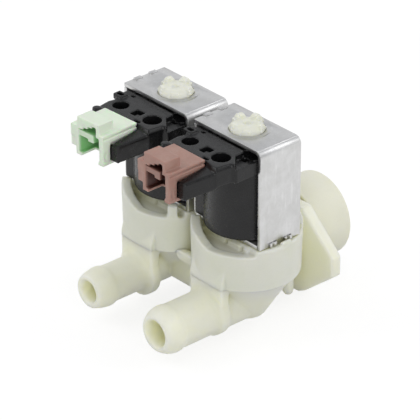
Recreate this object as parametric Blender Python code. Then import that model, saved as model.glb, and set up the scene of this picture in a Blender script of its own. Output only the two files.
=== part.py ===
"""Twin solenoid inlet valve of a washing machine.

Two servo valves stand side by side on one moulded body. Water comes in through the
threaded inlet at the back (+Y), passes a strainer and a flow regulator, and leaves by the
two hose tails at the front (-Y). Each valve has a bonnet with a guide tube, a plunger, a
diaphragm, and a coil in a folded steel yoke with a coloured plug housing on its cover.
Metres, +Z up. The origin is under the middle of the part, on the surface it stands on.
"""
import math

import bmesh
import bpy
from mathutils import Matrix, Vector

# Common
GAP = 0.0003                 # clearance between pieces that seat on each other
PITCH = 0.0340               # distance between the two plunger axes
BIG = 32                     # sides of the large round forms
MID = 20                     # sides of the middle ones
SMALL = 14                   # sides of the small ones

# Yoke: two folded strips of sheet steel round each coil
YOKE_LENGTH = 0.0313
YOKE_WIDTH = 0.0171
YOKE_HEIGHT = 0.0346
YOKE_SHEET = 0.00125
YOKE_BEND = 0.0024           # outer radius of the fold
YOKE_EYE_RADIUS = 0.0060     # hole that the crown of the guide tube comes through
TAB_WIDTH = 0.0028
TAB_SPACING = 0.0063
TAB_PROUD = 0.0004           # staked end of a tab above the sheet

# Guide tube and its crown
TUBE_RADIUS = 0.0052
TUBE_BORE = 0.0043
TUBE_ROOF = 0.0030           # solid end of the tube above its bore
CROWN_RADIUS = 0.0055
CROWN_INNER = 0.0040
CROWN_HEIGHT = 0.0024        # two tall fingers above the yoke
CROWN_LOW = 0.0011           # the other fingers
CROWN_FINGERS = 6
CROWN_SLOT = 0.0028
BOSS_RADIUS = 0.0035
BOSS_HEIGHT = 0.0010
DIMPLE_RADIUS = 0.0019
DIMPLE_DEPTH = 0.0012

# Bonnet
BONNET_RADIUS = 0.01795
BONNET_DRAFT = 0.0004
BONNET_HEIGHT = 0.0145
BONNET_EDGE = 0.0005
COLLAR_WALL = 0.0034         # upstanding wall round the foot of the coil
COLLAR_HEIGHT = 0.0022
LEDGE_DROP = 0.0019
LEDGE_ANGLE = -92.0          # where the wall steps down, in degrees from +X
RECESS_DEPTH = 0.0044
RECESS_RIBS = 5
RECESS_RIB = 0.0011
CHAMBER_RADIUS = 0.0124
CHAMBER_HEIGHT = 0.0050
DOME_HEIGHT = 0.0045
POST_FIRST = -51.0           # upright piece of wall on the green bonnet, in degrees
POST_LAST = -40.0
LUG_WIDTH = 0.0034
LUG_THICKNESS = 0.0014
LUG_OFFSET = 0.0012

# Diaphragm, hub and plunger
BEAD_WIDTH = 0.0012
BEAD_HEIGHT = 0.0013
WEB_THICKNESS = 0.0008
HUB_RADIUS = 0.0060
HUB_FLANGE = 0.0011
NOZZLE_RADIUS = 0.0016
NOZZLE_HEIGHT = 0.0006
PILOT_RADIUS = 0.0006
PLUNGER_RADIUS = 0.0039
SEAT_RADIUS = 0.0022
SEAT_HEIGHT = 0.0026
SEAT_SOCKET = 0.0014
SPRING_RADIUS = 0.0029
SPRING_WIRE = 0.00035
SPRING_TURNS = 5
SPRING_LENGTH = 0.0107       # room for it above the plunger

# Coil
COIL_RADIUS = 0.0138
COIL_DROP = 0.00265          # shoulder of the drum below the top of the coil
COIL_NECK = 0.0080           # radius of the block between drum and top plate
COIL_TURN_GREEN = 3.0        # the green coil sits a little askew, in degrees
COIL_TURN_BROWN = 0.0
BUSH_WALL = 0.0010
BUSH_UPPER = 0.0110
BUSH_LOWER = 0.0105
BOBBIN_WALL = 0.0010
BOBBIN_FLANGE = 0.0010
WINDING_THICKNESS = 0.0030
SHELL_END = 0.0018           # moulding over the ends of the bobbin
KEY_WIDTH = 0.0038           # lead channel down the coil, in its front left corner
KEY_X = -0.0115
KEY_Y = -0.0102
KEY_DEPTH = 0.0026

# Cover moulded on top of the coil
COVER_DROP = 0.0016          # top of the cover below the top of the yoke
COVER_DEPTH = 0.0065
COVER_CHAMFER = 0.0013
COVER_HALF = 0.0141
COVER_WAIST = 0.0122
COVER_FRONT = 0.0223         # distance of the pocket's back from the plunger axis
COVER_SHOULDER = 0.0182      # where its straight sides end
COVER_CORNER = 0.0114        # its front right corner, beside the pocket
COVER_NOSE = 0.0009          # that corner in front of the pocket's back
ARM_LEFT_REACH = 0.0275
ARM_DROP = 0.0029            # top of the right arm below the top of the cover
ARM_HEIGHT = 0.0053
ARM_WIDTH = 0.0033
ARM_SLANT = 0.0035           # length of its slanted end
GROOVE_WIDTH = 0.0016
GROOVE_DEPTH = 0.0018
HOLE_LEFT = 0.0027
HOLE_RIGHT = 0.0031
HOLE_MIDDLE = 0.0030
HOLE_SPACING = 0.0072
HOLE_Y = -0.0172
HOLE_DEPTH = 0.0040
KNOB_RADIUS = 0.0015
KNOB_PROUD = 0.0007
KNOB_Y = -0.0245
NOTCH_LENGTH = 0.0082
NOTCH_WIDTH = 0.0034
NOTCH_DEPTH = 0.0030
TONGUE_INSET = 0.0074        # behind the mouth of the plug housing
TONGUE_LEFT = -0.0050
TONGUE_RIGHT = 0.0020
TONGUE_HEIGHT = 0.0032
TONGUE_DROP = 0.0074         # foot of the tongue below the top of the plug housing

# Plug housing
PLUG_STEP = 0.0006           # above the cover
PLUG_LEFT = -0.0090
PLUG_RIGHT = 0.0057
PLUG_REACH = 0.0374
PLUG_SLAB = 0.0040
PLUG_WALL = 0.0013
PLUG_FLOOR = 0.0010
PLUG_HEIGHT = 0.0102
RAISE_LEFT = -0.0071
RAISE_RIGHT = 0.0038
RAISE_LENGTH = 0.0063
RAISE_HEIGHT = 0.0033
WING_HEIGHT = 0.0076
LEG_WIDTH = 0.0015
LEG_DEPTH = 0.0033
TOE_LEFT = 0.0015
TOE_BACK = 0.0020
TOE_HEIGHT = 0.0010
SHELF_THICKNESS = 0.0008
SHELF_WIDTH = 0.0060
SHELF_DROP = 0.0038
SLEEVE_INSET = 0.0054        # back of the sleeve in front of the pocket's back
CODING_TEETH = 4

# Terminals
BLADE_WIDTH = 0.0024
BLADE_THICKNESS = 0.0006
BLADE_INSET = 0.0044         # behind the mouth of the plug housing
BLADE_ROOT = 0.0190
BLADE_SPACING = 0.0036

# Body
STAND_HEIGHT = 0.0365        # foot of the yokes above the foot of the mounting plate
SEAT_FLOOR = 0.0195          # floor of the ring channel below the foot of the yoke
SEAT_LAND = 0.0173
PORT_RADIUS = 0.0045
BOWL_RADIUS = 0.0160
BOWL_WALL = 0.0008
BOWL_FOOT_RADIUS = 0.0052
BOWL_DEPTH_BROWN = 0.0320
BOWL_DEPTH_GREEN = 0.0300
OUTLET_DROP = 0.0253
ROOT_HALF = 0.0074
ROOT_REACH = 0.0175
ROOT_BACK = 0.0140           # back of the collar round each tail
ROOT_RADIUS = 0.0090
OUTLET_REACH_BROWN = 0.0389
OUTLET_REACH_GREEN = 0.0382
OUTLET_RADIUS_BROWN = 0.00765
OUTLET_RADIUS_GREEN = 0.00625
BARB_RADIUS_BROWN = 0.00805
BARB_RADIUS_GREEN = 0.00685
BARB_REACH_BROWN = 0.0337
BARB_REACH_GREEN = 0.0321
TIP_RADIUS_BROWN = 0.0062
TIP_RADIUS_GREEN = 0.0056
OUTLET_BORE_BROWN = 0.0044
OUTLET_BORE_GREEN = 0.0036
MANIFOLD_HALF = 0.0120
MANIFOLD_FRONT = -0.0080
MANIFOLD_DROP = 0.0283
GALLERY_HALF = 0.0060
GALLERY_FRONT = -0.0050
GALLERY_HEIGHT = 0.0026
INLET_DROP = 0.0203
INLET_RADIUS = 0.0129
INLET_BORE = 0.0105
INLET_THROAT = 0.0070
INLET_ROOT = 0.0186          # where the inlet pipe leaves the manifold
INLET_REACH = 0.0474
PLATE_BACK = 0.0300
PLATE_THICKNESS = 0.0042
PLATE_HALF = 0.0297
PLATE_FLAT = 0.0152
PLATE_TOP = 0.0045
PLATE_TIP_TOP = 0.0176
PLATE_TIP_FOOT = 0.0245
PLATE_CORNER = 0.0016
PEG_X = 0.0153
PEG_Y = 0.0200
PEG_RADIUS = 0.0019
PEG_DROP = 0.0344
PEG_WEB = 0.0016

EAR_LEFT = -0.0045           # rounded ear on the front, between the two bowls
EAR_RADIUS = 0.0033
EAR_FRONT = -0.0118
EAR_THICKNESS = 0.0030

# Cap, strainer and flow regulator
CAP_RADIUS = 0.01424
CAP_REACH = 0.0492
CAP_LENGTH = 0.0146
CAP_EDGE = 0.0010
STRAINER_RIM = 0.0012
STRAINER_LENGTH = 0.0085
STRAINER_TIP = 0.0050
STRAINER_WALL = 0.0007
REGULATOR_LENGTH = 0.0034
REGULATOR_HOLE = 0.0030
REGULATOR_GROOVE = 0.0012
RING_WIRE = 0.0007

# Places worked out from the sizes
DECK = -GAP
BONNET_FOOT = DECK - BONNET_HEIGHT + GAP
BODY_TOP = BONNET_FOOT - GAP
COLLAR_INNER = BONNET_RADIUS - COLLAR_WALL
SLOT_HALF = YOKE_WIDTH / 2 + GAP
BEAD_RADIUS = CHAMBER_RADIUS + BEAD_WIDTH
BEAD_LEDGE = BODY_TOP - BEAD_HEIGHT - GAP
WEB_TOP = BODY_TOP - GAP
BUSH_INNER = TUBE_RADIUS + GAP
BUSH_OUTER = BUSH_INNER + BUSH_WALL
BOBBIN_INNER = BUSH_OUTER + GAP
BOBBIN_OUTER = BOBBIN_INNER + BOBBIN_WALL
WINDING_OUTER = BOBBIN_OUTER + GAP + WINDING_THICKNESS
COIL_FOOT = YOKE_SHEET + GAP
COIL_TOP = YOKE_HEIGHT - YOKE_SHEET - GAP
COIL_SHOULDER = COIL_TOP - COIL_DROP
CAVITY_FOOT = COIL_FOOT + SHELL_END
CAVITY_TOP = COIL_SHOULDER - SHELL_END
BORE_TOP = YOKE_HEIGHT - TUBE_ROOF
HUB_TOP = WEB_TOP + GAP + HUB_FLANGE
NOZZLE_TOP = HUB_TOP + NOZZLE_HEIGHT
PLUNGER_FOOT = NOZZLE_TOP + GAP + SEAT_HEIGHT - SEAT_SOCKET
PLUNGER_TOP = BORE_TOP - SPRING_LENGTH
COVER_TOP = YOKE_HEIGHT - COVER_DROP
COVER_FOOT = COVER_TOP - COVER_DEPTH
PLUG_TOP = COVER_TOP + PLUG_STEP
PLUG_FOOT = PLUG_TOP - PLUG_HEIGHT
WING_FOOT = PLUG_TOP - WING_HEIGHT
SHELF_Z = PLUG_TOP - SHELF_DROP
TONGUE_Z = PLUG_TOP - TONGUE_DROP
TONGUE_REACH = PLUG_REACH - TONGUE_INSET
BLADE_REACH = PLUG_REACH - BLADE_INSET
ARM_RIGHT_REACH = PLUG_REACH - LEG_DEPTH - 2 * GAP
ARM_TOP = COVER_TOP - ARM_DROP
MIDDLE_Y = (OUTLET_REACH_BROWN - CAP_REACH) / 2


def clear_scene():
    for thing in list(bpy.data.objects):
        bpy.data.objects.remove(thing, do_unlink=True)


def material(name, colour, roughness, metallic=0.0):
    finish = bpy.data.materials.new(name)
    finish.use_nodes = True
    shader = finish.node_tree.nodes["Principled BSDF"]
    shader.inputs["Base Color"].default_value = (*colour, 1.0)
    shader.inputs["Roughness"].default_value = roughness
    shader.inputs["Metallic"].default_value = metallic
    finish.diffuse_color = (*colour, 1.0)
    return finish


def empty(name, parent, location):
    holder = bpy.data.objects.new(name, None)
    holder.empty_display_size = 0.005
    holder.location = location
    holder.parent = parent
    bpy.context.scene.collection.objects.link(holder)
    return holder


def add_object(name, bm, parent, location=(0, 0, 0), turn=0.0, finish=None):
    """Make an object from bm. turn swings its local Z from +Z towards -Y, in degrees."""
    bmesh.ops.remove_doubles(bm, verts=bm.verts, dist=1e-7)
    bmesh.ops.recalc_face_normals(bm, faces=bm.faces)
    mesh = bpy.data.meshes.new(name)
    bm.to_mesh(mesh)
    bm.free()
    thing = bpy.data.objects.new(name, mesh)
    thing.location = location
    thing.rotation_euler.x = math.radians(turn)
    thing.parent = parent
    bpy.context.scene.collection.objects.link(thing)
    if finish:
        mesh.materials.append(finish)
        mesh.shade_smooth()
        mesh.set_sharp_from_angle(angle=math.radians(35))
    return thing


def turned(profile, sides):
    """Spin a profile of (radius, height) points round Z; ends on the axis close it."""
    bm = bmesh.new()
    verts = [bm.verts.new((radius, 0, height)) for radius, height in profile]
    if profile[0][0] > 0:
        verts.append(verts[0])
    edges = [bm.edges.new(pair) for pair in zip(verts, verts[1:])]
    bmesh.ops.spin(bm, geom=list(set(verts)) + edges, cent=(0, 0, 0), axis=(0, 0, 1),
                   angle=math.tau, steps=sides, use_merge=True)
    return bm


def extruded(outline, start, end, bm=None, upright=False):
    """Extrude a closed outline from start to end: along Z, or along Y when upright."""
    bm = bm or bmesh.new()
    if upright:
        points = [(u, start, v) for u, v in outline]
        step = Vector((0, end - start, 0))
    else:
        points = [(u, v, start) for u, v in outline]
        step = Vector((0, 0, end - start))
    face = bm.faces.new([bm.verts.new(point) for point in points])
    grown = bmesh.ops.extrude_face_region(bm, geom=[face])
    moved = [item for item in grown["geom"] if isinstance(item, bmesh.types.BMVert)]
    bmesh.ops.translate(bm, verts=moved, vec=step)
    return bm


def box(x0, x1, y0, y1, z0, z1, bm=None):
    return extruded([(x0, y0), (x1, y0), (x1, y1), (x0, y1)], z0, z1, bm)


def arc(radius, first, last, steps, centre=(0.0, 0.0)):
    """Points on a circle from one angle to another, in degrees."""
    points = []
    for i in range(steps + 1):
        angle = math.radians(first + (last - first) * i / steps)
        points.append((centre[0] + radius * math.cos(angle), centre[1] + radius * math.sin(angle)))
    return points


def combine(target, tool, operation):
    """Boolean the tool into the target; the tool stays as a hidden guide."""
    tool.display_type = "WIRE"
    tool.hide_render = True
    step = target.modifiers.new(tool.name, "BOOLEAN")
    step.operation = operation
    step.solver = "EXACT"
    step.object = tool
    return target


def tool(name, bm, parent, location=(0, 0, 0), turn=0.0):
    return add_object("guide_" + name, bm, parent, location, turn)


def yoke_halves(tag, parent, finish):
    half = YOKE_LENGTH / 2
    width = YOKE_WIDTH / 2
    tabs = (-TAB_SPACING / 2, TAB_SPACING / 2)
    inner = max(YOKE_BEND - YOKE_SHEET, 0.0002)

    # Lower half: foot plate and left cheek, with the tabs
    end = half - YOKE_SHEET - GAP
    top = YOKE_HEIGHT - YOKE_SHEET - GAP
    outline = [(end, 0), (end, YOKE_SHEET)]
    outline += arc(inner, 270, 180, 4, (-half + YOKE_BEND, YOKE_BEND))
    outline += [(-half + YOKE_SHEET, top), (-half, top)]
    outline += arc(YOKE_BEND, 180, 270, 5, (-half + YOKE_BEND, YOKE_BEND))
    lower = add_object("yoke_lower_" + tag, extruded(outline, -width, width, upright=True),
                       parent, finish=finish)
    eye = turned([(0, -0.001), (TUBE_RADIUS + GAP, -0.001),
                  (TUBE_RADIUS + GAP, YOKE_SHEET + 0.001), (0, YOKE_SHEET + 0.001)], MID)
    combine(lower, tool("eye_lower_" + tag, eye, parent), "DIFFERENCE")
    pegs = bmesh.new()
    inset = 0.0003
    for y in tabs:
        box(-half, -half + YOKE_SHEET, y - TAB_WIDTH / 2, y + TAB_WIDTH / 2,
            top - inset, YOKE_HEIGHT + TAB_PROUD, pegs)
        box(end - inset, half + TAB_PROUD, y - TAB_WIDTH / 2, y + TAB_WIDTH / 2,
            0, YOKE_SHEET, pegs)
    combine(lower, tool("tabs_" + tag, pegs, parent), "UNION")

    # Upper half: top plate and right cheek, with the slots for the tabs
    outline = [(-half, YOKE_HEIGHT), (-half, YOKE_HEIGHT - YOKE_SHEET)]
    outline += arc(inner, 90, 0, 4, (half - YOKE_BEND, YOKE_HEIGHT - YOKE_BEND))
    outline += [(half - YOKE_SHEET, 0), (half, 0)]
    outline += arc(YOKE_BEND, 0, 90, 5, (half - YOKE_BEND, YOKE_HEIGHT - YOKE_BEND))
    upper = add_object("yoke_upper_" + tag, extruded(outline, -width, width, upright=True),
                       parent, finish=finish)
    cuts = turned([(0, YOKE_HEIGHT - YOKE_SHEET - 0.001), (YOKE_EYE_RADIUS, YOKE_HEIGHT - YOKE_SHEET - 0.001),
                   (YOKE_EYE_RADIUS, YOKE_HEIGHT + 0.001), (0, YOKE_HEIGHT + 0.001)], MID)
    slot = TAB_WIDTH / 2 + GAP
    for y in tabs:
        box(-half - 0.001, -half + YOKE_SHEET + GAP, y - slot, y + slot,
            top - 0.001, YOKE_HEIGHT + 0.001, cuts)
        box(end - 0.0005, half + 0.001, y - slot, y + slot, -0.001, YOKE_SHEET + GAP, cuts)
    combine(upper, tool("slots_" + tag, cuts, parent), "DIFFERENCE")


def bonnet(tag, parent, side, finish):
    """Bonnet, guide tube and crown in one moulding; side is +1 where the twin is at -X."""
    rim = BONNET_RADIUS - BONNET_DRAFT
    crown_top = YOKE_HEIGHT + CROWN_HEIGHT
    slot_foot = YOKE_HEIGHT + GAP
    boss_top = YOKE_HEIGHT + BOSS_HEIGHT
    profile = [(0, boss_top - DIMPLE_DEPTH), (DIMPLE_RADIUS * 0.6, boss_top - DIMPLE_DEPTH),
               (DIMPLE_RADIUS, boss_top), (BOSS_RADIUS - 0.0007, boss_top),
               (BOSS_RADIUS, boss_top - 0.0005), (BOSS_RADIUS, slot_foot),
               (CROWN_INNER, slot_foot), (CROWN_INNER, crown_top - 0.0002),
               (CROWN_INNER + 0.0005, crown_top), (CROWN_RADIUS - 0.0004, crown_top - 0.0011),
               (CROWN_RADIUS, crown_top - 0.0017), (CROWN_RADIUS, slot_foot),
               (TUBE_RADIUS, YOKE_HEIGHT - YOKE_SHEET), (TUBE_RADIUS, DECK),
               (BONNET_RADIUS - BONNET_EDGE, DECK), (BONNET_RADIUS, DECK - BONNET_EDGE),
               (rim, BONNET_FOOT), (CHAMBER_RADIUS, BONNET_FOOT),
               (CHAMBER_RADIUS, BONNET_FOOT + CHAMBER_HEIGHT),
               (TUBE_BORE, BONNET_FOOT + CHAMBER_HEIGHT + DOME_HEIGHT),
               (TUBE_BORE, BORE_TOP), (0, BORE_TOP)]
    piece = add_object("bonnet_" + tag, turned(profile, BIG), parent, finish=finish)

    # Upstanding wall behind the yoke and in front of it on the left
    corner = math.degrees(math.asin((SLOT_HALF + GAP) / COLLAR_INNER))
    walls = bmesh.new()
    for first, last, steps in ((-180 + corner, LEDGE_ANGLE, 6), (corner, 180 - corner, 12)):
        outline = arc(BONNET_RADIUS, first, last, steps) + arc(COLLAR_INNER, last, first, steps)
        extruded(outline, DECK - 0.001, COLLAR_HEIGHT, walls)
    combine(piece, tool("collar_" + tag, walls, parent), "UNION")

    # Open recess in front of the yoke, and the low ledge on its right
    recess = bmesh.new()
    extruded(arc(COLLAR_INNER, -180 + corner, -corner, 12), DECK - RECESS_DEPTH, 0.004, recess)
    combine(piece, tool("recess_" + tag, recess, parent), "DIFFERENCE")
    ledge = bmesh.new()
    reach = BONNET_RADIUS + 0.001
    extruded(arc(reach, LEDGE_ANGLE, -corner, 6) + arc(COLLAR_INNER - 0.0005, -corner, LEDGE_ANGLE, 6),
             DECK - LEDGE_DROP, 0.004, ledge)
    combine(piece, tool("ledge_" + tag, ledge, parent), "DIFFERENCE")

    # Ribs that carry the foot plate across the recess, and the lugs beside the cheeks
    ribs = bmesh.new()
    for i in range(RECESS_RIBS):
        x = (i - (RECESS_RIBS - 1) / 2) * 2 * RECESS_RIB * 2
        front = -math.sqrt(max(COIL_RADIUS ** 2 - x ** 2, SLOT_HALF ** 2))
        box(x - RECESS_RIB / 2, x + RECESS_RIB / 2, front, -SLOT_HALF + 0.0005,
            DECK - RECESS_DEPTH - 0.0005, DECK - 0.0007, ribs)
    lug = YOKE_LENGTH / 2 + TAB_PROUD + GAP
    for sign in (-1, 1):
        near, far = sorted((sign * lug, sign * (lug + LUG_THICKNESS)))
        box(near, far, LUG_OFFSET - LUG_WIDTH / 2, LUG_OFFSET + LUG_WIDTH / 2,
            DECK - 0.001, COLLAR_HEIGHT, ribs)
    if side < 0:
        outline = arc(BONNET_RADIUS - BONNET_DRAFT, POST_FIRST, POST_LAST, 2)
        outline += arc(COLLAR_INNER + 0.0001, POST_LAST, POST_FIRST, 2)
        extruded(outline, DECK - RECESS_DEPTH, COLLAR_HEIGHT - GAP, ribs)
    combine(piece, tool("ribs_" + tag, ribs, parent), "UNION")

    # Slots between the fingers of the crown; all but the two fingers at the back are low
    slots = bmesh.new()
    for i in range(CROWN_FINGERS):
        before = set(slots.verts)
        box(BOSS_RADIUS + 0.0002, CROWN_RADIUS + 0.001, -CROWN_SLOT / 2, CROWN_SLOT / 2,
            slot_foot + 0.0002, crown_top + 0.001, slots)
        added = [vert for vert in slots.verts if vert not in before]
        turn = Matrix.Rotation(math.radians(15) + math.tau * i / CROWN_FINGERS, 3, "Z")
        bmesh.ops.rotate(slots, verts=added, cent=(0, 0, 0), matrix=turn)
    combine(piece, tool("crown_" + tag, slots, parent), "DIFFERENCE")
    low = arc(CROWN_RADIUS + 0.001, -165, 75, 12) + arc(CROWN_INNER - 0.0002, 75, -165, 12)
    low = extruded(low, YOKE_HEIGHT + CROWN_LOW, crown_top + 0.001)
    combine(piece, tool("low_" + tag, low, parent), "DIFFERENCE")

    # Flat where the two bonnets meet
    flat = PITCH / 2 - GAP / 2
    near, far = sorted((-side * flat, -side * (BONNET_RADIUS + 0.004)))
    cut = box(near, far, -PITCH, PITCH, BONNET_FOOT - 0.002, COLLAR_HEIGHT + 0.002)
    combine(piece, tool("flat_" + tag, cut, parent), "DIFFERENCE")


def diaphragm(tag, parent, rubber, plastic):
    foot = BEAD_LEDGE + GAP
    profile = [(BEAD_RADIUS, WEB_TOP), (BEAD_RADIUS, foot), (CHAMBER_RADIUS - GAP, foot),
               (CHAMBER_RADIUS - GAP, WEB_TOP - WEB_THICKNESS),
               (HUB_RADIUS + GAP, WEB_TOP - WEB_THICKNESS), (HUB_RADIUS + GAP, WEB_TOP)]
    add_object("diaphragm_" + tag, turned(profile, MID), parent, finish=rubber)

    # Hub: its flange lies above the web, its face closes the seat, a pilot hole runs through
    face = -SEAT_LAND + GAP
    stem = HUB_RADIUS - 0.0003
    profile = [(PILOT_RADIUS, NOZZLE_TOP - HUB_TOP), (PILOT_RADIUS, face - HUB_TOP),
               (stem, face - HUB_TOP), (stem, -HUB_FLANGE), (stem, 0),
               (NOZZLE_RADIUS + 0.0006, 0), (NOZZLE_RADIUS, NOZZLE_TOP - HUB_TOP)]
    add_object("diaphragm_hub_" + tag, turned(profile, SMALL), parent, (0, 0, HUB_TOP),
               finish=plastic)


def plunger(tag, parent, steel, rubber, wire):
    socket = SEAT_RADIUS + GAP
    edge = 0.0005
    length = PLUNGER_TOP - PLUNGER_FOOT
    profile = [(0, SEAT_SOCKET + GAP), (socket, SEAT_SOCKET + GAP), (socket, 0),
               (PLUNGER_RADIUS - edge, 0), (PLUNGER_RADIUS, edge),
               (PLUNGER_RADIUS, length - edge), (PLUNGER_RADIUS - edge, length), (0, length)]
    add_object("plunger_" + tag, turned(profile, SMALL), parent, (0, 0, PLUNGER_FOOT),
               finish=steel)
    seat = NOZZLE_TOP + GAP
    profile = [(0, 0), (SEAT_RADIUS - 0.0003, 0), (SEAT_RADIUS, 0.0003),
               (SEAT_RADIUS, SEAT_HEIGHT), (0, SEAT_HEIGHT)]
    add_object("plunger_seat_" + tag, turned(profile, 12), parent, (0, 0, seat), finish=rubber)

    # Return spring between the plunger and the roof of the tube
    low = PLUNGER_TOP + GAP + SPRING_WIRE
    high = BORE_TOP - GAP - SPRING_WIRE
    curve = bpy.data.curves.new("plunger_spring_" + tag, "CURVE")
    curve.dimensions = "3D"
    curve.bevel_depth = SPRING_WIRE
    curve.bevel_resolution = 0
    curve.use_fill_caps = True
    steps = SPRING_TURNS * 10
    spline = curve.splines.new("POLY")
    spline.points.add(steps)
    for i, point in enumerate(spline.points):
        angle = math.tau * SPRING_TURNS * i / steps
        point.co = (SPRING_RADIUS * math.cos(angle), SPRING_RADIUS * math.sin(angle),
                    low + (high - low) * i / steps, 1)
    curve.materials.append(wire)
    spring = bpy.data.objects.new("plunger_spring_" + tag, curve)
    spring.parent = parent
    bpy.context.scene.collection.objects.link(spring)


def coil_core(tag, parent, steel, plastic, copper):
    for name, foot, top in (("bush_upper_", COIL_TOP - BUSH_UPPER, COIL_TOP),
                            ("bush_lower_", COIL_FOOT, COIL_FOOT + BUSH_LOWER)):
        profile = [(BUSH_INNER, foot), (BUSH_OUTER, foot), (BUSH_OUTER, top), (BUSH_INNER, top)]
        add_object(name + tag, turned(profile, SMALL), parent, finish=steel)
    foot = CAVITY_FOOT + GAP
    top = CAVITY_TOP - GAP
    rim = WINDING_OUTER + GAP
    profile = [(BOBBIN_INNER, foot), (rim, foot), (rim, foot + BOBBIN_FLANGE),
               (BOBBIN_OUTER, foot + BOBBIN_FLANGE), (BOBBIN_OUTER, top - BOBBIN_FLANGE),
               (rim, top - BOBBIN_FLANGE), (rim, top), (BOBBIN_INNER, top)]
    add_object("coil_bobbin_" + tag, turned(profile, SMALL), parent, finish=plastic)
    inner = BOBBIN_OUTER + GAP
    foot += BOBBIN_FLANGE + GAP
    top -= BOBBIN_FLANGE + GAP
    profile = [(inner, foot), (WINDING_OUTER, foot), (WINDING_OUTER, top), (inner, top)]
    add_object("coil_winding_" + tag, turned(profile, SMALL), parent, finish=copper)


def cover_outline(turn, inset=0.0):
    """Plan of the cover from its back edge, which follows the yoke, to the tip of its left arm."""
    arm_inner = PLUG_RIGHT + GAP
    arm_left = PLUG_LEFT - GAP
    left = -COVER_HALF + inset
    right = COVER_HALF - inset
    swing = math.radians(turn)
    back_left = (-SLOT_HALF - left * math.sin(swing)) / math.cos(swing)
    back_right = (-SLOT_HALF - right * math.sin(swing)) / math.cos(swing)
    waist = -COVER_WAIST + inset
    return [(left, back_left), (left, -COVER_SHOULDER + 0.0042),
            (waist, -COVER_SHOULDER + 0.0024), (waist, -COVER_SHOULDER - 0.0008),
            (waist + 0.0010, -ARM_LEFT_REACH + inset), (arm_left, -ARM_LEFT_REACH + inset),
            (arm_left, -COVER_FRONT), (arm_inner, -COVER_FRONT),
            (COVER_CORNER - inset, -COVER_FRONT - COVER_NOSE + inset),
            (right, -COVER_SHOULDER), (right, back_right)]


def arm_outline():
    """Plan of the right arm, from its slanted tip back into the wall of the drum."""
    inner = PLUG_RIGHT + GAP
    outer = inner + ARM_WIDTH
    wall = COIL_RADIUS - 0.0002
    return [(inner, -ARM_RIGHT_REACH), (inner + 0.0005, -ARM_RIGHT_REACH),
            (outer, -ARM_RIGHT_REACH + ARM_SLANT), (outer, -math.sqrt(wall ** 2 - outer ** 2)),
            (inner, -math.sqrt(wall ** 2 - inner ** 2))]


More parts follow.
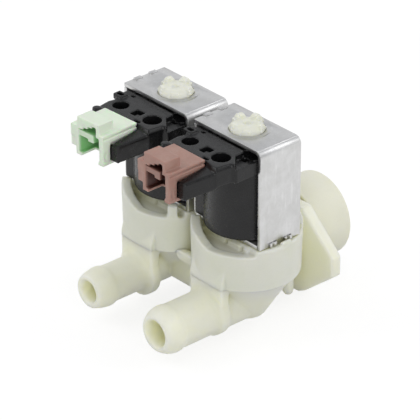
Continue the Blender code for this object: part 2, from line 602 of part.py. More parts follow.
def coil_moulding(tag, parent, turn, finish):
    """Black moulding over the winding: a drum, and the cover with two arms in front."""
    rim = WINDING_OUTER + 2 * GAP
    profile = [(BOBBIN_INNER, COIL_FOOT), (COIL_RADIUS - 0.0004, COIL_FOOT),
               (COIL_RADIUS, COIL_FOOT + 0.0004), (COIL_RADIUS, COIL_SHOULDER),
               (COIL_NECK, COIL_SHOULDER), (COIL_NECK, COIL_TOP),
               (BOBBIN_INNER, COIL_TOP), (BOBBIN_INNER, CAVITY_TOP), (rim, CAVITY_TOP),
               (rim, CAVITY_FOOT), (BOBBIN_INNER, CAVITY_FOOT)]
    piece = add_object("coil_moulding_" + tag, turned(profile, BIG), parent, finish=finish)

    # Cover: a slab with a chamfered top edge
    slab = bmesh.new()
    edge = COVER_CHAMFER * 0.6
    lower = [slab.verts.new((x, y, COVER_FOOT)) for x, y in cover_outline(turn)]
    middle = [slab.verts.new((x, y, COVER_TOP - COVER_CHAMFER)) for x, y in cover_outline(turn)]
    upper = [slab.verts.new((x, y, COVER_TOP)) for x, y in cover_outline(turn, edge)]
    slab.faces.new(lower)
    slab.faces.new(upper)
    for first, second in ((lower, middle), (middle, upper)):
        for i in range(len(first)):
            j = (i + 1) % len(first)
            slab.faces.new((first[i], first[j], second[j], second[i]))
    slab_tool = tool("cover_" + tag, slab, parent)
    hollow = turned([(0, COVER_FOOT - 0.001), (rim, COVER_FOOT - 0.001), (rim, CAVITY_TOP),
                     (BOBBIN_INNER, CAVITY_TOP), (BOBBIN_INNER, COVER_TOP + 0.001),
                     (0, COVER_TOP + 0.001)], MID)
    combine(slab_tool, tool("hollow_" + tag, hollow, parent), "DIFFERENCE")
    combine(piece, slab_tool, "UNION")
    arm = extruded(arm_outline(), ARM_TOP - ARM_HEIGHT, ARM_TOP)
    combine(piece, tool("arm_" + tag, arm, parent), "UNION")

    # Lead channel down the drum, tongue inside the plug, knob on the left arm
    extras = bmesh.new()
    box(KEY_X - KEY_WIDTH / 2, KEY_X + KEY_WIDTH / 2, KEY_Y, KEY_Y + KEY_DEPTH,
        COLLAR_HEIGHT + GAP, COVER_FOOT + 0.001, extras)
    box(TONGUE_LEFT, TONGUE_RIGHT, -TONGUE_REACH, -COVER_FRONT + 0.001,
        TONGUE_Z, TONGUE_Z + TONGUE_HEIGHT, extras)
    combine(piece, tool("tongue_" + tag, extras, parent), "UNION")
    knob = turned([(0, COVER_TOP - 0.003), (KNOB_RADIUS, COVER_TOP - 0.003),
                   (KNOB_RADIUS, COVER_TOP + KNOB_PROUD), (0, COVER_TOP + KNOB_PROUD)], 12)
    place = (PLUG_LEFT - GAP - KNOB_RADIUS, KNOB_Y, 0)
    combine(piece, tool("knob_" + tag, knob, parent, place), "UNION")

    # Groove behind the cover's edge, corner notch, holes and terminal slots
    cuts = bmesh.new()
    back = -SLOT_HALF - GROOVE_WIDTH
    edge = -COIL_NECK - 0.0001
    box(-COVER_HALF - 0.001, COVER_HALF - NOTCH_WIDTH - 0.0006, back, edge,
        COVER_TOP - GROOVE_DEPTH, COVER_TOP + 0.001, cuts)
    box(COVER_HALF - NOTCH_WIDTH, COVER_HALF + 0.001, -SLOT_HALF - NOTCH_LENGTH, edge,
        COVER_TOP - NOTCH_DEPTH, COVER_TOP + 0.001, cuts)
    half = HOLE_MIDDLE / 2
    box(-half + 0.0007, half + 0.0007, HOLE_Y - half, HOLE_Y + half,
        COVER_TOP - HOLE_DEPTH, COVER_TOP + 0.001, cuts)
    for x in (-BLADE_SPACING / 2, BLADE_SPACING / 2):
        x += (TONGUE_LEFT + TONGUE_RIGHT) / 2
        middle_z = TONGUE_Z + TONGUE_HEIGHT / 2
        box(x - BLADE_WIDTH / 2 - GAP, x + BLADE_WIDTH / 2 + GAP, -TONGUE_REACH - 0.001,
            -BLADE_ROOT + GAP, middle_z - BLADE_THICKNESS / 2 - GAP,
            middle_z + BLADE_THICKNESS / 2 + GAP, cuts)
    combine(piece, tool("cuts_" + tag, cuts, parent), "DIFFERENCE")
    for name, x, radius in (("hole_left_", -HOLE_SPACING, HOLE_LEFT),
                            ("hole_right_", HOLE_SPACING + 0.0001, HOLE_RIGHT)):
        hole = turned([(0, COVER_TOP - HOLE_DEPTH), (radius, COVER_TOP - HOLE_DEPTH),
                       (radius, COVER_TOP + 0.001), (0, COVER_TOP + 0.001)], SMALL)
        combine(piece, tool(name + tag, hole, parent, (x, HOLE_Y, 0)), "DIFFERENCE")


def plug_housing(tag, parent, finish):
    """Coloured plug housing: a slab on the cover, an open socket in front and a hooked leg."""
    front = -PLUG_REACH
    back = -COVER_FRONT - GAP
    slab_foot = PLUG_TOP - PLUG_SLAB
    raise_top = PLUG_TOP + RAISE_HEIGHT
    leg_left = PLUG_RIGHT - LEG_WIDTH
    piece = add_object("plug_housing_" + tag,
                       box(PLUG_LEFT, PLUG_RIGHT, front, back, slab_foot, PLUG_TOP),
                       parent, finish=finish)
    socket_back = front + RAISE_LENGTH
    sleeve_left = RAISE_LEFT + 0.0003
    blocks = (
        ("wing_", (PLUG_LEFT, leg_left, front + 0.0002, back - 0.0015, WING_FOOT, slab_foot + 0.001)),
        ("raise_", (RAISE_LEFT + 0.0010, RAISE_RIGHT, front + 0.0001, socket_back,
                    PLUG_TOP - 0.001, raise_top)),
        ("sleeve_", (sleeve_left, leg_left - 0.0001, front + 0.0001, back - SLEEVE_INSET,
                     PLUG_FOOT, slab_foot + 0.0005)),
        ("leg_", (leg_left, PLUG_RIGHT, front, front + LEG_DEPTH,
                  PLUG_FOOT + 0.0001, slab_foot + 0.001)),
        ("toe_", (leg_left - TOE_LEFT, PLUG_RIGHT + 0.0002, front, front + LEG_DEPTH + TOE_BACK,
                  PLUG_FOOT - 0.0002, PLUG_FOOT - 0.0002 + TOE_HEIGHT)),
    )
    for name, sizes in blocks:
        combine(piece, tool(name + tag, box(*sizes), parent), "UNION")

    # The socket, right through from the front to the tongue of the cover
    inner_left = sleeve_left + PLUG_WALL
    inner_right = leg_left - 0.0003
    floor = PLUG_FOOT + PLUG_FLOOR
    space = bmesh.new()
    box(inner_left, inner_right, front - 0.001, socket_back + 0.0060, floor, slab_foot + 0.0028, space)
    combine(piece, tool("space_" + tag, space, parent), "DIFFERENCE")
    through = box(TONGUE_LEFT - GAP, TONGUE_RIGHT + GAP, socket_back, back + 0.001,
                  TONGUE_Z - GAP, TONGUE_Z + TONGUE_HEIGHT + GAP)
    combine(piece, tool("through_" + tag, through, parent), "DIFFERENCE")
    # Head of the socket under the raised roof, its front edge stepped for coding
    head = bmesh.new()
    head_right = RAISE_RIGHT - PLUG_WALL
    box(inner_left, head_right, front + 0.0012, socket_back - PLUG_WALL,
        slab_foot + 0.0020, raise_top - 0.0011, head)
    combine(piece, tool("head_" + tag, head, parent), "DIFFERENCE")
    width = (head_right - inner_left) / CODING_TEETH
    for i in range(CODING_TEETH):
        step = bmesh.new()
        top = slab_foot + 0.0028 + (raise_top - 0.0011 - slab_foot - 0.0028) * (i + 0.6) / CODING_TEETH
        box(inner_left + width * i, inner_left + width * (i + 1), front - 0.001,
            front + 0.0016, slab_foot + 0.0020, top, step)
        combine(piece, tool(f"tooth_{i}_" + tag, step, parent), "DIFFERENCE")

    # Floor cut back on the right of the socket
    notch = box(inner_left + 0.0012, leg_left - 0.0002 - TOE_LEFT + 0.0010, front - 0.001,
                socket_back - 0.0002, PLUG_FOOT - 0.001, floor + 0.0005)
    combine(piece, tool("notch_" + tag, notch, parent), "DIFFERENCE")
    shelf = box(inner_left - 0.0003, inner_left + SHELF_WIDTH, front + 0.0019,
                socket_back + 0.0065, SHELF_Z, SHELF_Z + SHELF_THICKNESS)
    combine(piece, tool("shelf_" + tag, shelf, parent), "UNION")


def terminals(tag, parent, finish):
    middle = (TONGUE_LEFT + TONGUE_RIGHT) / 2
    z = TONGUE_Z + TONGUE_HEIGHT / 2
    for letter, x in (("a_", middle - BLADE_SPACING / 2), ("b_", middle + BLADE_SPACING / 2)):
        half = BLADE_WIDTH / 2
        outline = [(x - half, -BLADE_ROOT), (x - half, -BLADE_REACH + 0.0006),
                   (x - half + 0.0006, -BLADE_REACH), (x + half - 0.0006, -BLADE_REACH),
                   (x + half, -BLADE_REACH + 0.0006), (x + half, -BLADE_ROOT)]
        add_object("terminal_" + letter + tag,
                   extruded(outline, z - BLADE_THICKNESS / 2, z + BLADE_THICKNESS / 2),
                   parent, finish=finish)


def valve_body(root, finish):
    """One moulding: two bowls, their hose tails, the manifold, the inlet and the plate."""
    edge = PLATE_CORNER
    outline = [(-PLATE_FLAT, -PLATE_TOP), (-PLATE_HALF, -PLATE_TIP_TOP),
               (-PLATE_HALF, -PLATE_TIP_FOOT), (-PLATE_FLAT - edge, -STAND_HEIGHT + edge),
               (-PLATE_FLAT + edge, -STAND_HEIGHT), (PLATE_FLAT - edge, -STAND_HEIGHT),
               (PLATE_FLAT + edge, -STAND_HEIGHT + edge), (PLATE_HALF, -PLATE_TIP_FOOT),
               (PLATE_HALF, -PLATE_TIP_TOP), (PLATE_FLAT, -PLATE_TOP)]
    body = add_object("valve_body", extruded(outline, PLATE_BACK - PLATE_THICKNESS, PLATE_BACK,
                                             upright=True), root, finish=finish)
    pipe = turned([(0, INLET_ROOT), (INLET_RADIUS, INLET_ROOT), (INLET_RADIUS, INLET_REACH - 0.0006),
                   (INLET_RADIUS - 0.0006, INLET_REACH), (0, INLET_REACH)], BIG)
    combine(body, tool("inlet", pipe, root, (0, 0, -INLET_DROP), -90), "UNION")
    block = box(-MANIFOLD_HALF, MANIFOLD_HALF, MANIFOLD_FRONT, INLET_ROOT + 0.002,
                -MANIFOLD_DROP, BODY_TOP - 0.0002)
    combine(body, tool("manifold", block, root), "UNION")

    outlets = (("green", -1, BOWL_DEPTH_GREEN, OUTLET_RADIUS_GREEN, BARB_RADIUS_GREEN,
                BARB_REACH_GREEN, TIP_RADIUS_GREEN, OUTLET_REACH_GREEN),
               ("brown", 1, BOWL_DEPTH_BROWN, OUTLET_RADIUS_BROWN, BARB_RADIUS_BROWN,
                BARB_REACH_BROWN, TIP_RADIUS_BROWN, OUTLET_REACH_BROWN))
    for tag, side, depth, radius, barb, barb_reach, tip, reach in outlets:
        x = side * PITCH / 2
        bowl = turned([(0, -depth), (BOWL_FOOT_RADIUS, -depth),
                       (BOWL_FOOT_RADIUS + 0.0012, -depth + 0.0007),
                       (BOWL_RADIUS, BODY_TOP - BOWL_WALL), (BOWL_RADIUS, BODY_TOP),
                       (0, BODY_TOP)], BIG)
        combine(body, tool("bowl_" + tag, bowl, root, (x, 0, 0)), "UNION")
        root_block = box(x - ROOT_HALF, x + ROOT_HALF, -ROOT_REACH, -BOWL_RADIUS / 2, -OUTLET_DROP,
                         BODY_TOP - 0.0001)
        combine(body, tool("root_" + tag, root_block, root), "UNION")
        tail = turned([(0, 0.0020), (radius, 0.0020), (radius, ROOT_BACK), (ROOT_RADIUS, ROOT_BACK),
                       (ROOT_RADIUS, ROOT_REACH + 0.0002), (radius + 0.0006, ROOT_REACH + 0.0012),
                       (radius, ROOT_REACH + 0.0030), (radius, barb_reach - 0.0012),
                       (barb, barb_reach), (barb - 0.0006, barb_reach + 0.0012),
                       (tip, reach - 0.0006), (tip - 0.0006, reach), (0, reach)], MID)
        combine(body, tool("tail_" + tag, tail, root, (x, 0, -OUTLET_DROP), 90), "UNION")
    ear = [(EAR_LEFT, BODY_TOP - 0.0002)] + arc(EAR_RADIUS, 180, 270, 6,
                                                (EAR_LEFT + EAR_RADIUS, BODY_TOP - 0.0002))
    ear += [(PITCH / 2, BODY_TOP - 0.0002 - EAR_RADIUS), (PITCH / 2, BODY_TOP - 0.0002)]
    ear = extruded(ear, EAR_FRONT, EAR_FRONT + EAR_THICKNESS, upright=True)
    combine(body, tool("ear", ear, root), "UNION")
    peg = turned([(0, -PEG_DROP), (PEG_RADIUS * 0.6, -PEG_DROP + 0.0003),
                  (PEG_RADIUS, -PEG_DROP + 0.0014), (PEG_RADIUS, BODY_TOP - 0.004),
                  (0, BODY_TOP - 0.004)], 12)
    combine(body, tool("peg", peg, root, (PEG_X, PEG_Y, 0)), "UNION")
    web = box(MANIFOLD_HALF - 0.004, PEG_X, PEG_Y - PEG_WEB / 2, PEG_Y + PEG_WEB / 2,
              -PEG_DROP + 0.004, BODY_TOP - 0.0045)
    combine(body, tool("peg_web", web, root), "UNION")

    # Waterways
    for tag, side in (("green", -1), ("brown", 1)):
        x = side * PITCH / 2
        channel = turned([(0, BODY_TOP + 0.001), (BEAD_RADIUS + GAP, BODY_TOP + 0.001),
                          (BEAD_RADIUS + GAP, BEAD_LEDGE), (CHAMBER_RADIUS - 2 * GAP, BEAD_LEDGE),
                          (CHAMBER_RADIUS - 2 * GAP - 0.0004, -SEAT_FLOOR), (HUB_RADIUS, -SEAT_FLOOR),
                          (HUB_RADIUS, -SEAT_LAND), (PORT_RADIUS, -SEAT_LAND),
                          (PORT_RADIUS, -OUTLET_DROP), (0, -OUTLET_DROP)], MID)
        combine(body, tool("channel_" + tag, channel, root, (x, 0, 0)), "DIFFERENCE")
        radius = OUTLET_BORE_GREEN if side < 0 else OUTLET_BORE_BROWN
        bore = turned([(0, -0.001), (radius, -0.001), (radius, 0.05), (0, 0.05)], SMALL)
        combine(body, tool("bore_" + tag, bore, root, (x, 0, -OUTLET_DROP), 90), "DIFFERENCE")
    inlet = turned([(0, INLET_ROOT), (INLET_THROAT, INLET_ROOT),
                    (INLET_THROAT, PLATE_BACK + 0.001), (INLET_BORE, PLATE_BACK + 0.001),
                    (INLET_BORE, INLET_REACH + 0.001), (0, INLET_REACH + 0.001)], MID)
    combine(body, tool("inlet_bore", inlet, root, (0, 0, -INLET_DROP), -90), "DIFFERENCE")
    gallery = box(-GALLERY_HALF, GALLERY_HALF, GALLERY_FRONT, INLET_ROOT + 0.001,
                  -SEAT_FLOOR + 0.0002, -SEAT_FLOOR + 0.0002 + GALLERY_HEIGHT)
    combine(body, tool("gallery", gallery, root), "DIFFERENCE")
    return body


def inlet_fittings(root, white, grey, rubber):
    """Protective cap over the thread, strainer and flow regulator in the inlet."""
    place = (0, 0, -INLET_DROP)
    inner = INLET_RADIUS + GAP
    profile = [(0, CAP_REACH), (CAP_RADIUS - CAP_EDGE, CAP_REACH), (CAP_RADIUS, CAP_REACH - CAP_EDGE),
               (CAP_RADIUS, CAP_REACH - CAP_LENGTH), (inner, CAP_REACH - CAP_LENGTH),
               (inner, INLET_REACH + GAP), (0, INLET_REACH + GAP)]
    add_object("inlet_cap", turned(profile, BIG), root, place, -90, white)

    rim = INLET_BORE - GAP
    mouth = INLET_REACH - 0.0004
    step = mouth - STRAINER_RIM
    tip = mouth - STRAINER_LENGTH
    profile = [(0, tip), (STRAINER_TIP, tip), (rim - 0.0012, step), (rim, step), (rim, mouth),
               (rim - STRAINER_WALL - 0.0012, mouth),
               (STRAINER_TIP - 0.0004, tip + STRAINER_WALL), (0, tip + STRAINER_WALL)]
    add_object("inlet_strainer", turned(profile, MID), root, place, -90, grey)

    foot = PLATE_BACK + 0.001 + GAP
    top = foot + REGULATOR_LENGTH
    lip = REGULATOR_HOLE + REGULATOR_GROOVE + 2 * GAP + 0.0006
    groove = top - 2 * RING_WIRE - GAP
    profile = [(REGULATOR_HOLE, foot), (rim, foot), (rim, top), (lip, top), (lip, groove),
               (REGULATOR_HOLE, groove)]
    add_object("flow_regulator", turned(profile, MID), root, place, -90, white)
    centre = (lip + REGULATOR_HOLE) / 2 - 0.0001
    ring = [(centre + RING_WIRE * math.cos(math.tau * i / 8),
             groove + GAP + RING_WIRE + RING_WIRE * math.sin(math.tau * i / 8)) for i in range(8)]
    add_object("regulator_ring", turned(ring, SMALL), root, place, -90, rubber)


def main():
    clear_scene()
    nylon = material("nylon_cream", (0.78, 0.76, 0.66), 0.45)
    cap = material("cap_cream", (0.76, 0.74, 0.63), 0.5)
    steel = material("yoke_zinc", (0.62, 0.63, 0.63), 0.32, 1.0)
    bright = material("steel_bright", (0.66, 0.66, 0.65), 0.25, 1.0)
    black = material("coil_black", (0.022, 0.022, 0.024), 0.5)
    spool = material("bobbin_grey", (0.12, 0.12, 0.12), 0.5)
    copper = material("winding_copper", (0.72, 0.33, 0.16), 0.35, 1.0)
    rubber = material("rubber_black", (0.03, 0.03, 0.03), 0.75)
    grey = material("strainer_grey", (0.45, 0.46, 0.46), 0.5)
    tin = material("terminal_tin", (0.72, 0.71, 0.68), 0.3, 1.0)
    plugs = {"green": material("plug_green", (0.52, 0.72, 0.50), 0.5),
             "brown": material("plug_brown", (0.42, 0.20, 0.16), 0.5)}

    root = empty("assembly", None, (0, MIDDLE_Y, STAND_HEIGHT))
    valve_body(root, nylon)
    inlet_fittings(root, cap, grey, rubber)
    for tag, side, turn in (("green", -1, COIL_TURN_GREEN), ("brown", 1, COIL_TURN_BROWN)):
        axis = empty("axis_" + tag, root, (side * PITCH / 2, 0, 0))
        seat = empty("coil_axis_" + tag, axis, (0, 0, 0))
        seat.rotation_euler.z = math.radians(turn)
        yoke_halves(tag, axis, steel)
        bonnet(tag, axis, side, nylon)
        diaphragm(tag, axis, rubber, spool)
        plunger(tag, axis, bright, rubber, bright)
        coil_core(tag, axis, steel, spool, copper)
        coil_moulding(tag, seat, turn, black)
        plug_housing(tag, seat, plugs[tag])
        terminals(tag, seat, tin)
    bpy.context.view_layer.update()


main()
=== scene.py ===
# %% [markdown]
# Water inlet valve of a washing machine
#
# The solids of the valve are already made and packed. This lesson dresses them for a picture:
# it lights a pale table, sets up the camera, and gives each visible piece its moulded edges,
# its small forms and its finish. Read it from top to bottom; every cell adds one thing.

# %% Load the solids
import math

import bmesh
import bpy
import numpy as np
from mathutils import Matrix, Vector


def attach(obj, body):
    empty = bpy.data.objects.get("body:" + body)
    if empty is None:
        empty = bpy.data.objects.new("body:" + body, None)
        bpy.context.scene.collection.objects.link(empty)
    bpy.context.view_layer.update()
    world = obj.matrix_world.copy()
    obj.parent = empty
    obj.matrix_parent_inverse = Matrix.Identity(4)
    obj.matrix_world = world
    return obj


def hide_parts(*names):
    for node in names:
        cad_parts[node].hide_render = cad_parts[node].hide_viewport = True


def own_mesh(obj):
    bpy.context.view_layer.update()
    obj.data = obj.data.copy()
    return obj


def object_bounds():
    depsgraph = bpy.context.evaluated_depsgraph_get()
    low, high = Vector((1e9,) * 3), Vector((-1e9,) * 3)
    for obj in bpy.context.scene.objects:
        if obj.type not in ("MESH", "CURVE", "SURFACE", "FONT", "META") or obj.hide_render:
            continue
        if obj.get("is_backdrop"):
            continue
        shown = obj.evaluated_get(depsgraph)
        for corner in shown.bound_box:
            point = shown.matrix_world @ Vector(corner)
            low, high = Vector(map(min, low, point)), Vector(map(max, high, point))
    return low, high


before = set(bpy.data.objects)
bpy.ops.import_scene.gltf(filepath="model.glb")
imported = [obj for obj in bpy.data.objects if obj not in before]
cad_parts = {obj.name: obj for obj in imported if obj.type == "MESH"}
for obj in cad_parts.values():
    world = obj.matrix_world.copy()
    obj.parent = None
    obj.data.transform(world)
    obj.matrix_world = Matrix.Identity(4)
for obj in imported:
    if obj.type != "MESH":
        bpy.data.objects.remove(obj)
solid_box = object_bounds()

# %% [markdown]
# Where things are
#
# A valve is drawn most easily from its own middle: here the point between the two coils, on the
# underside of the steel yokes. All sizes below are millimetres from that point. One vector
# carries them to the place where the part stands on the table. The axes of the hose tails and
# of the inlet lie at their own drops below it.

# %% The drawing's own zero
MM = 0.001
HOME = Vector((0.0, -5.15, 36.5))
PITCH = 34.0
SIDES = {"green": -PITCH / 2, "brown": PITCH / 2}
ASKEW = {"green": 3.0, "brown": 0.0}
TAIL_DROP, INLET_DROP = 25.3, 20.3
print("the drawing's zero stands at", tuple(HOME), "mm")

# %% [markdown]
# Camera
#
# The picture was taken from far off with a long lens, so parallel edges stay nearly parallel.
# A long lens far away gives the same look here. The place and the aim come from the straight
# edges of the yokes, whose directions can be measured in the picture.

# %% Camera
eye = bpy.data.cameras.new("eye")
eye.sensor_width = 36.0
eye.lens = 258.47
watcher = bpy.data.objects.new("eye", eye)
bpy.context.scene.collection.objects.link(watcher)
watcher.location = (HOME + Vector((635.4, -563.0, 470.8))) * MM
watcher.rotation_euler = Vector((0.6542, -0.5791, 0.4865)).to_track_quat("Z", "Y").to_euler()
eye.clip_start, eye.clip_end = 0.05, 20.0
bpy.context.scene.camera = watcher
bpy.context.scene.view_settings.view_transform = "Standard"
print("camera is", round(watcher.location.length, 3), "m away")

# %% [markdown]
# Nodes
#
# Every finish below is a small network of nodes. A few helpers keep those networks short. One
# adds a node and fills or links its sockets by name. Another gives a noise whose spots have a
# size in millimetres, laid out in the part's own space so that it sticks to the surface. The
# rest do sums, mix colours, make bumps and link what varies over a surface.

# %% Helpers for nodes
def node(tree, kind, sockets=None, **settings):
    """Add a shader node. A socket value that is itself a socket becomes a link."""
    made = tree.nodes.new("ShaderNode" + kind)
    for name, value in settings.items():
        setattr(made, name, value)
    for name, value in (sockets or {}).items():
        if isinstance(value, bpy.types.NodeSocket):
            tree.links.new(value, made.inputs[name])
        else:
            made.inputs[name].default_value = value
    return made


def worked(tree, operation, *values):
    """The result of one sum on numbers or sockets."""
    return node(tree, "Math", dict(enumerate(values)), operation=operation).outputs[0]


def spots(tree, size, detail=2.0, stretch=(1.0, 1.0, 1.0), rough=0.5):
    """Noise between 0 and 1 with spots of about this size in millimetres."""
    here = node(tree, "TexCoord").outputs["Object"]
    wide = node(tree, "Mapping", {"Vector": here, "Scale": [1 / s for s in stretch]})
    cloud = node(tree, "TexNoise", {"Vector": wide.outputs["Vector"], "Scale": 1 / (size * MM),
                                    "Detail": detail, "Roughness": rough})
    return cloud.outputs[0]


def spread(tree, value, low, high, start=0.3, stop=0.7):
    """Carry a noise from start..stop to low..high."""
    return node(tree, "MapRange", {"Value": value, "From Min": start, "From Max": stop,
                                   "To Min": low, "To Max": high}).outputs[0]


def blended(tree, share, first, second):
    """Mix two colours, each given as three numbers or as a socket."""
    mix = tree.nodes.new("ShaderNodeMix")
    mix.data_type = "RGBA"
    tree.links.new(share, mix.inputs[0])
    for place, colour in ((6, first), (7, second)):
        if isinstance(colour, bpy.types.NodeSocket):
            tree.links.new(colour, mix.inputs[place])
        else:
            mix.inputs[place].default_value = (*colour, 1.0)
    return mix.outputs[2]


def dented(tree, height, depth, under=None):
    """Bump of a depth in millimetres, on top of another bump if one is given."""
    sockets = {"Height": height, "Distance": depth * MM, "Strength": 1.0}
    if under is not None:
        sockets["Normal"] = under
    return node(tree, "Bump", sockets).outputs[0]


def with_painted_shade(tree, open_tone, painted_shade_tone, reach=6.0, start=0.12, stop=0.72):
    """Painted shade: turn a tone towards a darker shade tone where other surfaces are within reach
    millimetres.
    """
    free = node(tree, "AmbientOcclusion", {"Distance": reach * MM}, samples=8).outputs["AO"]
    return blended(tree, spread(tree, free, 0.0, 1.0, start, stop), painted_shade_tone, open_tone)


def blank(name):
    """A material with one Principled shader, and its tree."""
    made = bpy.data.materials.new(name)
    made.use_nodes = True
    return made, made.node_tree, made.node_tree.nodes["Principled BSDF"]


def painted(tree, shader, tone, rough, bump):
    """Link what varies over a surface: its colour, its roughness and its bump."""
    for name, value in (("Base Color", tone), ("Roughness", rough), ("Normal", bump)):
        tree.links.new(value, shader.inputs[name])


print("node helpers ready")

# %% [markdown]
# Table and light
#
# The product stands on white paper in soft light from all round, with hardly a shadow. A world
# of plain grey gives most of that. It is bright behind the product and darker in front, as in a
# white tent that is open towards the room. Three large square lamps at the left, right and back
# add the rest, so that round forms still turn from light to shade. The strength of a lamp is
# written as a share of the level at which a colour renders as it is written; the distance then
# sets its power.
#
# The paper looks white to the camera, and in what metal mirrors, through a little glow that only
# those rays see. It still takes the shadow.

# %% Table and light
def lamp(name, place, size, share):
    """A square lamp that faces the valve."""
    light = bpy.data.lights.new(name, "AREA")
    light.size = size
    thing = bpy.data.objects.new(name, light)
    thing.location = place
    target = Vector((0, 0, 0.035))
    away = Vector(place) - target
    thing.rotation_euler = away.to_track_quat("Z", "Y").to_euler()
    light.energy = share * math.pi ** 2 * away.length_squared
    bpy.context.scene.collection.objects.link(thing)


lamp("key", (-0.75, -0.95, 1.15), 0.9, 0.215)
lamp("fill", (1.25, -0.75, 0.70), 0.9, 0.33)
lamp("rim", (0.80, 0.95, 1.10), 0.9, 0.16)

world = bpy.data.worlds.new("studio")
world.use_nodes = True
bpy.context.scene.world = world
sky = world.node_tree
path = node(sky, "LightPath")
seen = worked(sky, "MAXIMUM", path.outputs["Is Camera Ray"], path.outputs["Is Glossy Ray"])
seen = worked(sky, "MAXIMUM", seen, path.outputs["Is Transmission Ray"])
outward = node(sky, "TexCoord").outputs["Generated"]
height = node(sky, "SeparateXYZ", {0: outward}).outputs["Z"]
towards_room = (0.749, -0.663, 0.0)
front = node(sky, "VectorMath", {0: outward, 1: towards_room}, operation="DOT_PRODUCT").outputs["Value"]
room = blended(sky, spread(sky, height, 0.0, 1.0, 0.12, 0.55), (1.0, 1.0, 1.0), (0.68, 0.69, 0.71))
room = blended(sky, spread(sky, front, 0.0, 1.0, 0.0, 0.8), room, (0.36, 0.36, 0.37))
even = blended(sky, spread(sky, front, 0.0, 1.0, -1.0, 1.0), (0.88, 0.88, 0.89), (0.28, 0.28, 0.28))
dim = blended(sky, seen, even, room)
shade = blended(sky, path.outputs["Is Camera Ray"], dim, (1.0, 1.0, 1.0))
sky.links.new(shade, sky.nodes["Background"].inputs["Color"])

paper, tree, shader = blank("paper")
shader.inputs["Base Color"].default_value = (0.6, 0.6, 0.6, 1)
shader.inputs["Roughness"].default_value = 0.9
shader.inputs["Specular IOR Level"].default_value = 0.2
bright = node(tree, "BsdfDiffuse", {"Color": (0.24, 0.24, 0.24, 1)})
glow = node(tree, "Emission", {"Color": (1, 1, 1, 1), "Strength": 0.81})
both = node(tree, "AddShader")
tree.links.new(bright.outputs[0], both.inputs[0])
tree.links.new(glow.outputs[0], both.inputs[1])
path = node(tree, "LightPath")
seen = worked(tree, "MAXIMUM", path.outputs["Is Camera Ray"], path.outputs["Is Glossy Ray"])
choice = node(tree, "MixShader", {0: seen})
tree.links.new(shader.outputs[0], choice.inputs[1])
tree.links.new(both.outputs[0], choice.inputs[2])
tree.links.new(choice.outputs[0], tree.nodes["Material Output"].inputs["Surface"])

sheet = bmesh.new()
bmesh.ops.create_grid(sheet, x_segments=8, y_segments=8, size=4.0)
table_mesh = bpy.data.meshes.new("table")
sheet.to_mesh(table_mesh)
sheet.free()
table = bpy.data.objects.new("table", table_mesh)
table.data.materials.append(paper)
bpy.context.scene.collection.objects.link(table)
table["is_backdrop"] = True
print("three lamps, one world, one sheet of paper")

# %% [markdown]
# Forms
#
# A moulded part is drawn as a few plain forms: turned ones, for all that is round, and prisms,
# for all that is straight. Each helper adds a closed shell to a bmesh, so one bmesh can hold
# many shells that overlap. What has to be taken away is drawn in a second bmesh.

# %% Helpers for forms
def arc(radius, first, last, steps, centre=(0.0, 0.0)):
    """Points on a circle from one angle to another, in degrees."""
    turn = [math.radians(first + (last - first) * i / steps) for i in range(steps + 1)]
    return [(centre[0] + radius * math.cos(a), centre[1] + radius * math.sin(a)) for a in turn]


def bow(start, pull, end, steps=10):
    """Points on a curve that leaves start towards pull and ends at end."""
    points = []
    for i in range(steps + 1):
        t = i / steps
        points.append(tuple((1 - t) ** 2 * a + 2 * t * (1 - t) * b + t * t * c
                            for a, b, c in zip(start, pull, end)))
    return points


def turned(profile, at=(0.0, 0.0, 0.0), way="Z", steps=96, bm=None):
    """Spin (radius, distance) points round an axis that points up, to the front or to the back."""
    bm = bm or bmesh.new()
    rows = []
    for radius, far in profile:
        row = []
        for i in range(steps if radius > 0 else 1):
            angle = math.tau * i / steps
            x, y, z = radius * math.cos(angle), radius * math.sin(angle), far
            if way == "front":
                x, y, z = x, -z, y
            elif way == "back":
                x, y, z = x, z, -y
            row.append(bm.verts.new((x + at[0], y + at[1], z + at[2])))
        rows.append(row)
    if len(rows[0]) > 1:
        rows.append(rows[0])
    for low, high in zip(rows, rows[1:]):
        for i in range(steps):
            j = (i + 1) % steps
            corners = [low[i % len(low)], low[j % len(low)], high[j % len(high)], high[i % len(high)]]
            corners = list(dict.fromkeys(corners))
            if len(corners) > 2:
                bm.faces.new(corners)
    return bm


def lofted(rows, bm=None):
    """A closed shell through rows of corners, all rows with as many corners."""
    bm = bm or bmesh.new()
    rows = [[bm.verts.new(corner) for corner in row] for row in rows]
    bm.faces.new(rows[0])
    bm.faces.new(rows[-1])
    for low, high in zip(rows, rows[1:]):
        for i in range(len(low)):
            j = (i + 1) % len(low)
            bm.faces.new((low[i], low[j], high[j], high[i]))
    return bm


def prism(outline, start, end, bm=None, upright=False):
    """Push an outline along Z, or along Y when upright."""
    return lofted([[(u, far, v) if upright else (u, v, far) for u, v in outline] for far in (start, end)], bm)


def block(x0, x1, y0, y1, z0, z1, bm=None):
    """A box between two places along each direction."""
    return prism([(x0, y0), (x1, y0), (x1, y1), (x0, y1)], z0, z1, bm)


def ring_part(inner, outer, first, last, steps, foot, top, bm):
    """Part of a flat ring, between two angles and two heights."""
    prism(arc(outer, first, last, steps) + arc(inner, last, first, steps), foot, top, bm)


def joined(bm, other):
    """Put the shells of another bmesh into this one."""
    shells = bpy.data.meshes.new("shells")
    other.to_mesh(shells)
    other.free()
    bm.from_mesh(shells)


print("form helpers ready")

# %% [markdown]
# From forms to a moulding
#
# Plastic comes out of the mould with no sharp edge anywhere: inner corners are filled and outer
# ones are round. Bevels could do it edge by edge, but they fail where many small forms meet. It
# is safer to cut the forms with an exact boolean, rebuild the skin from small even faces with a
# voxel remesh, and relax that skin a few rounds. Flat faces stay flat, and every edge gets its
# radius at once. The voxel sets how fine the smallest form may be.

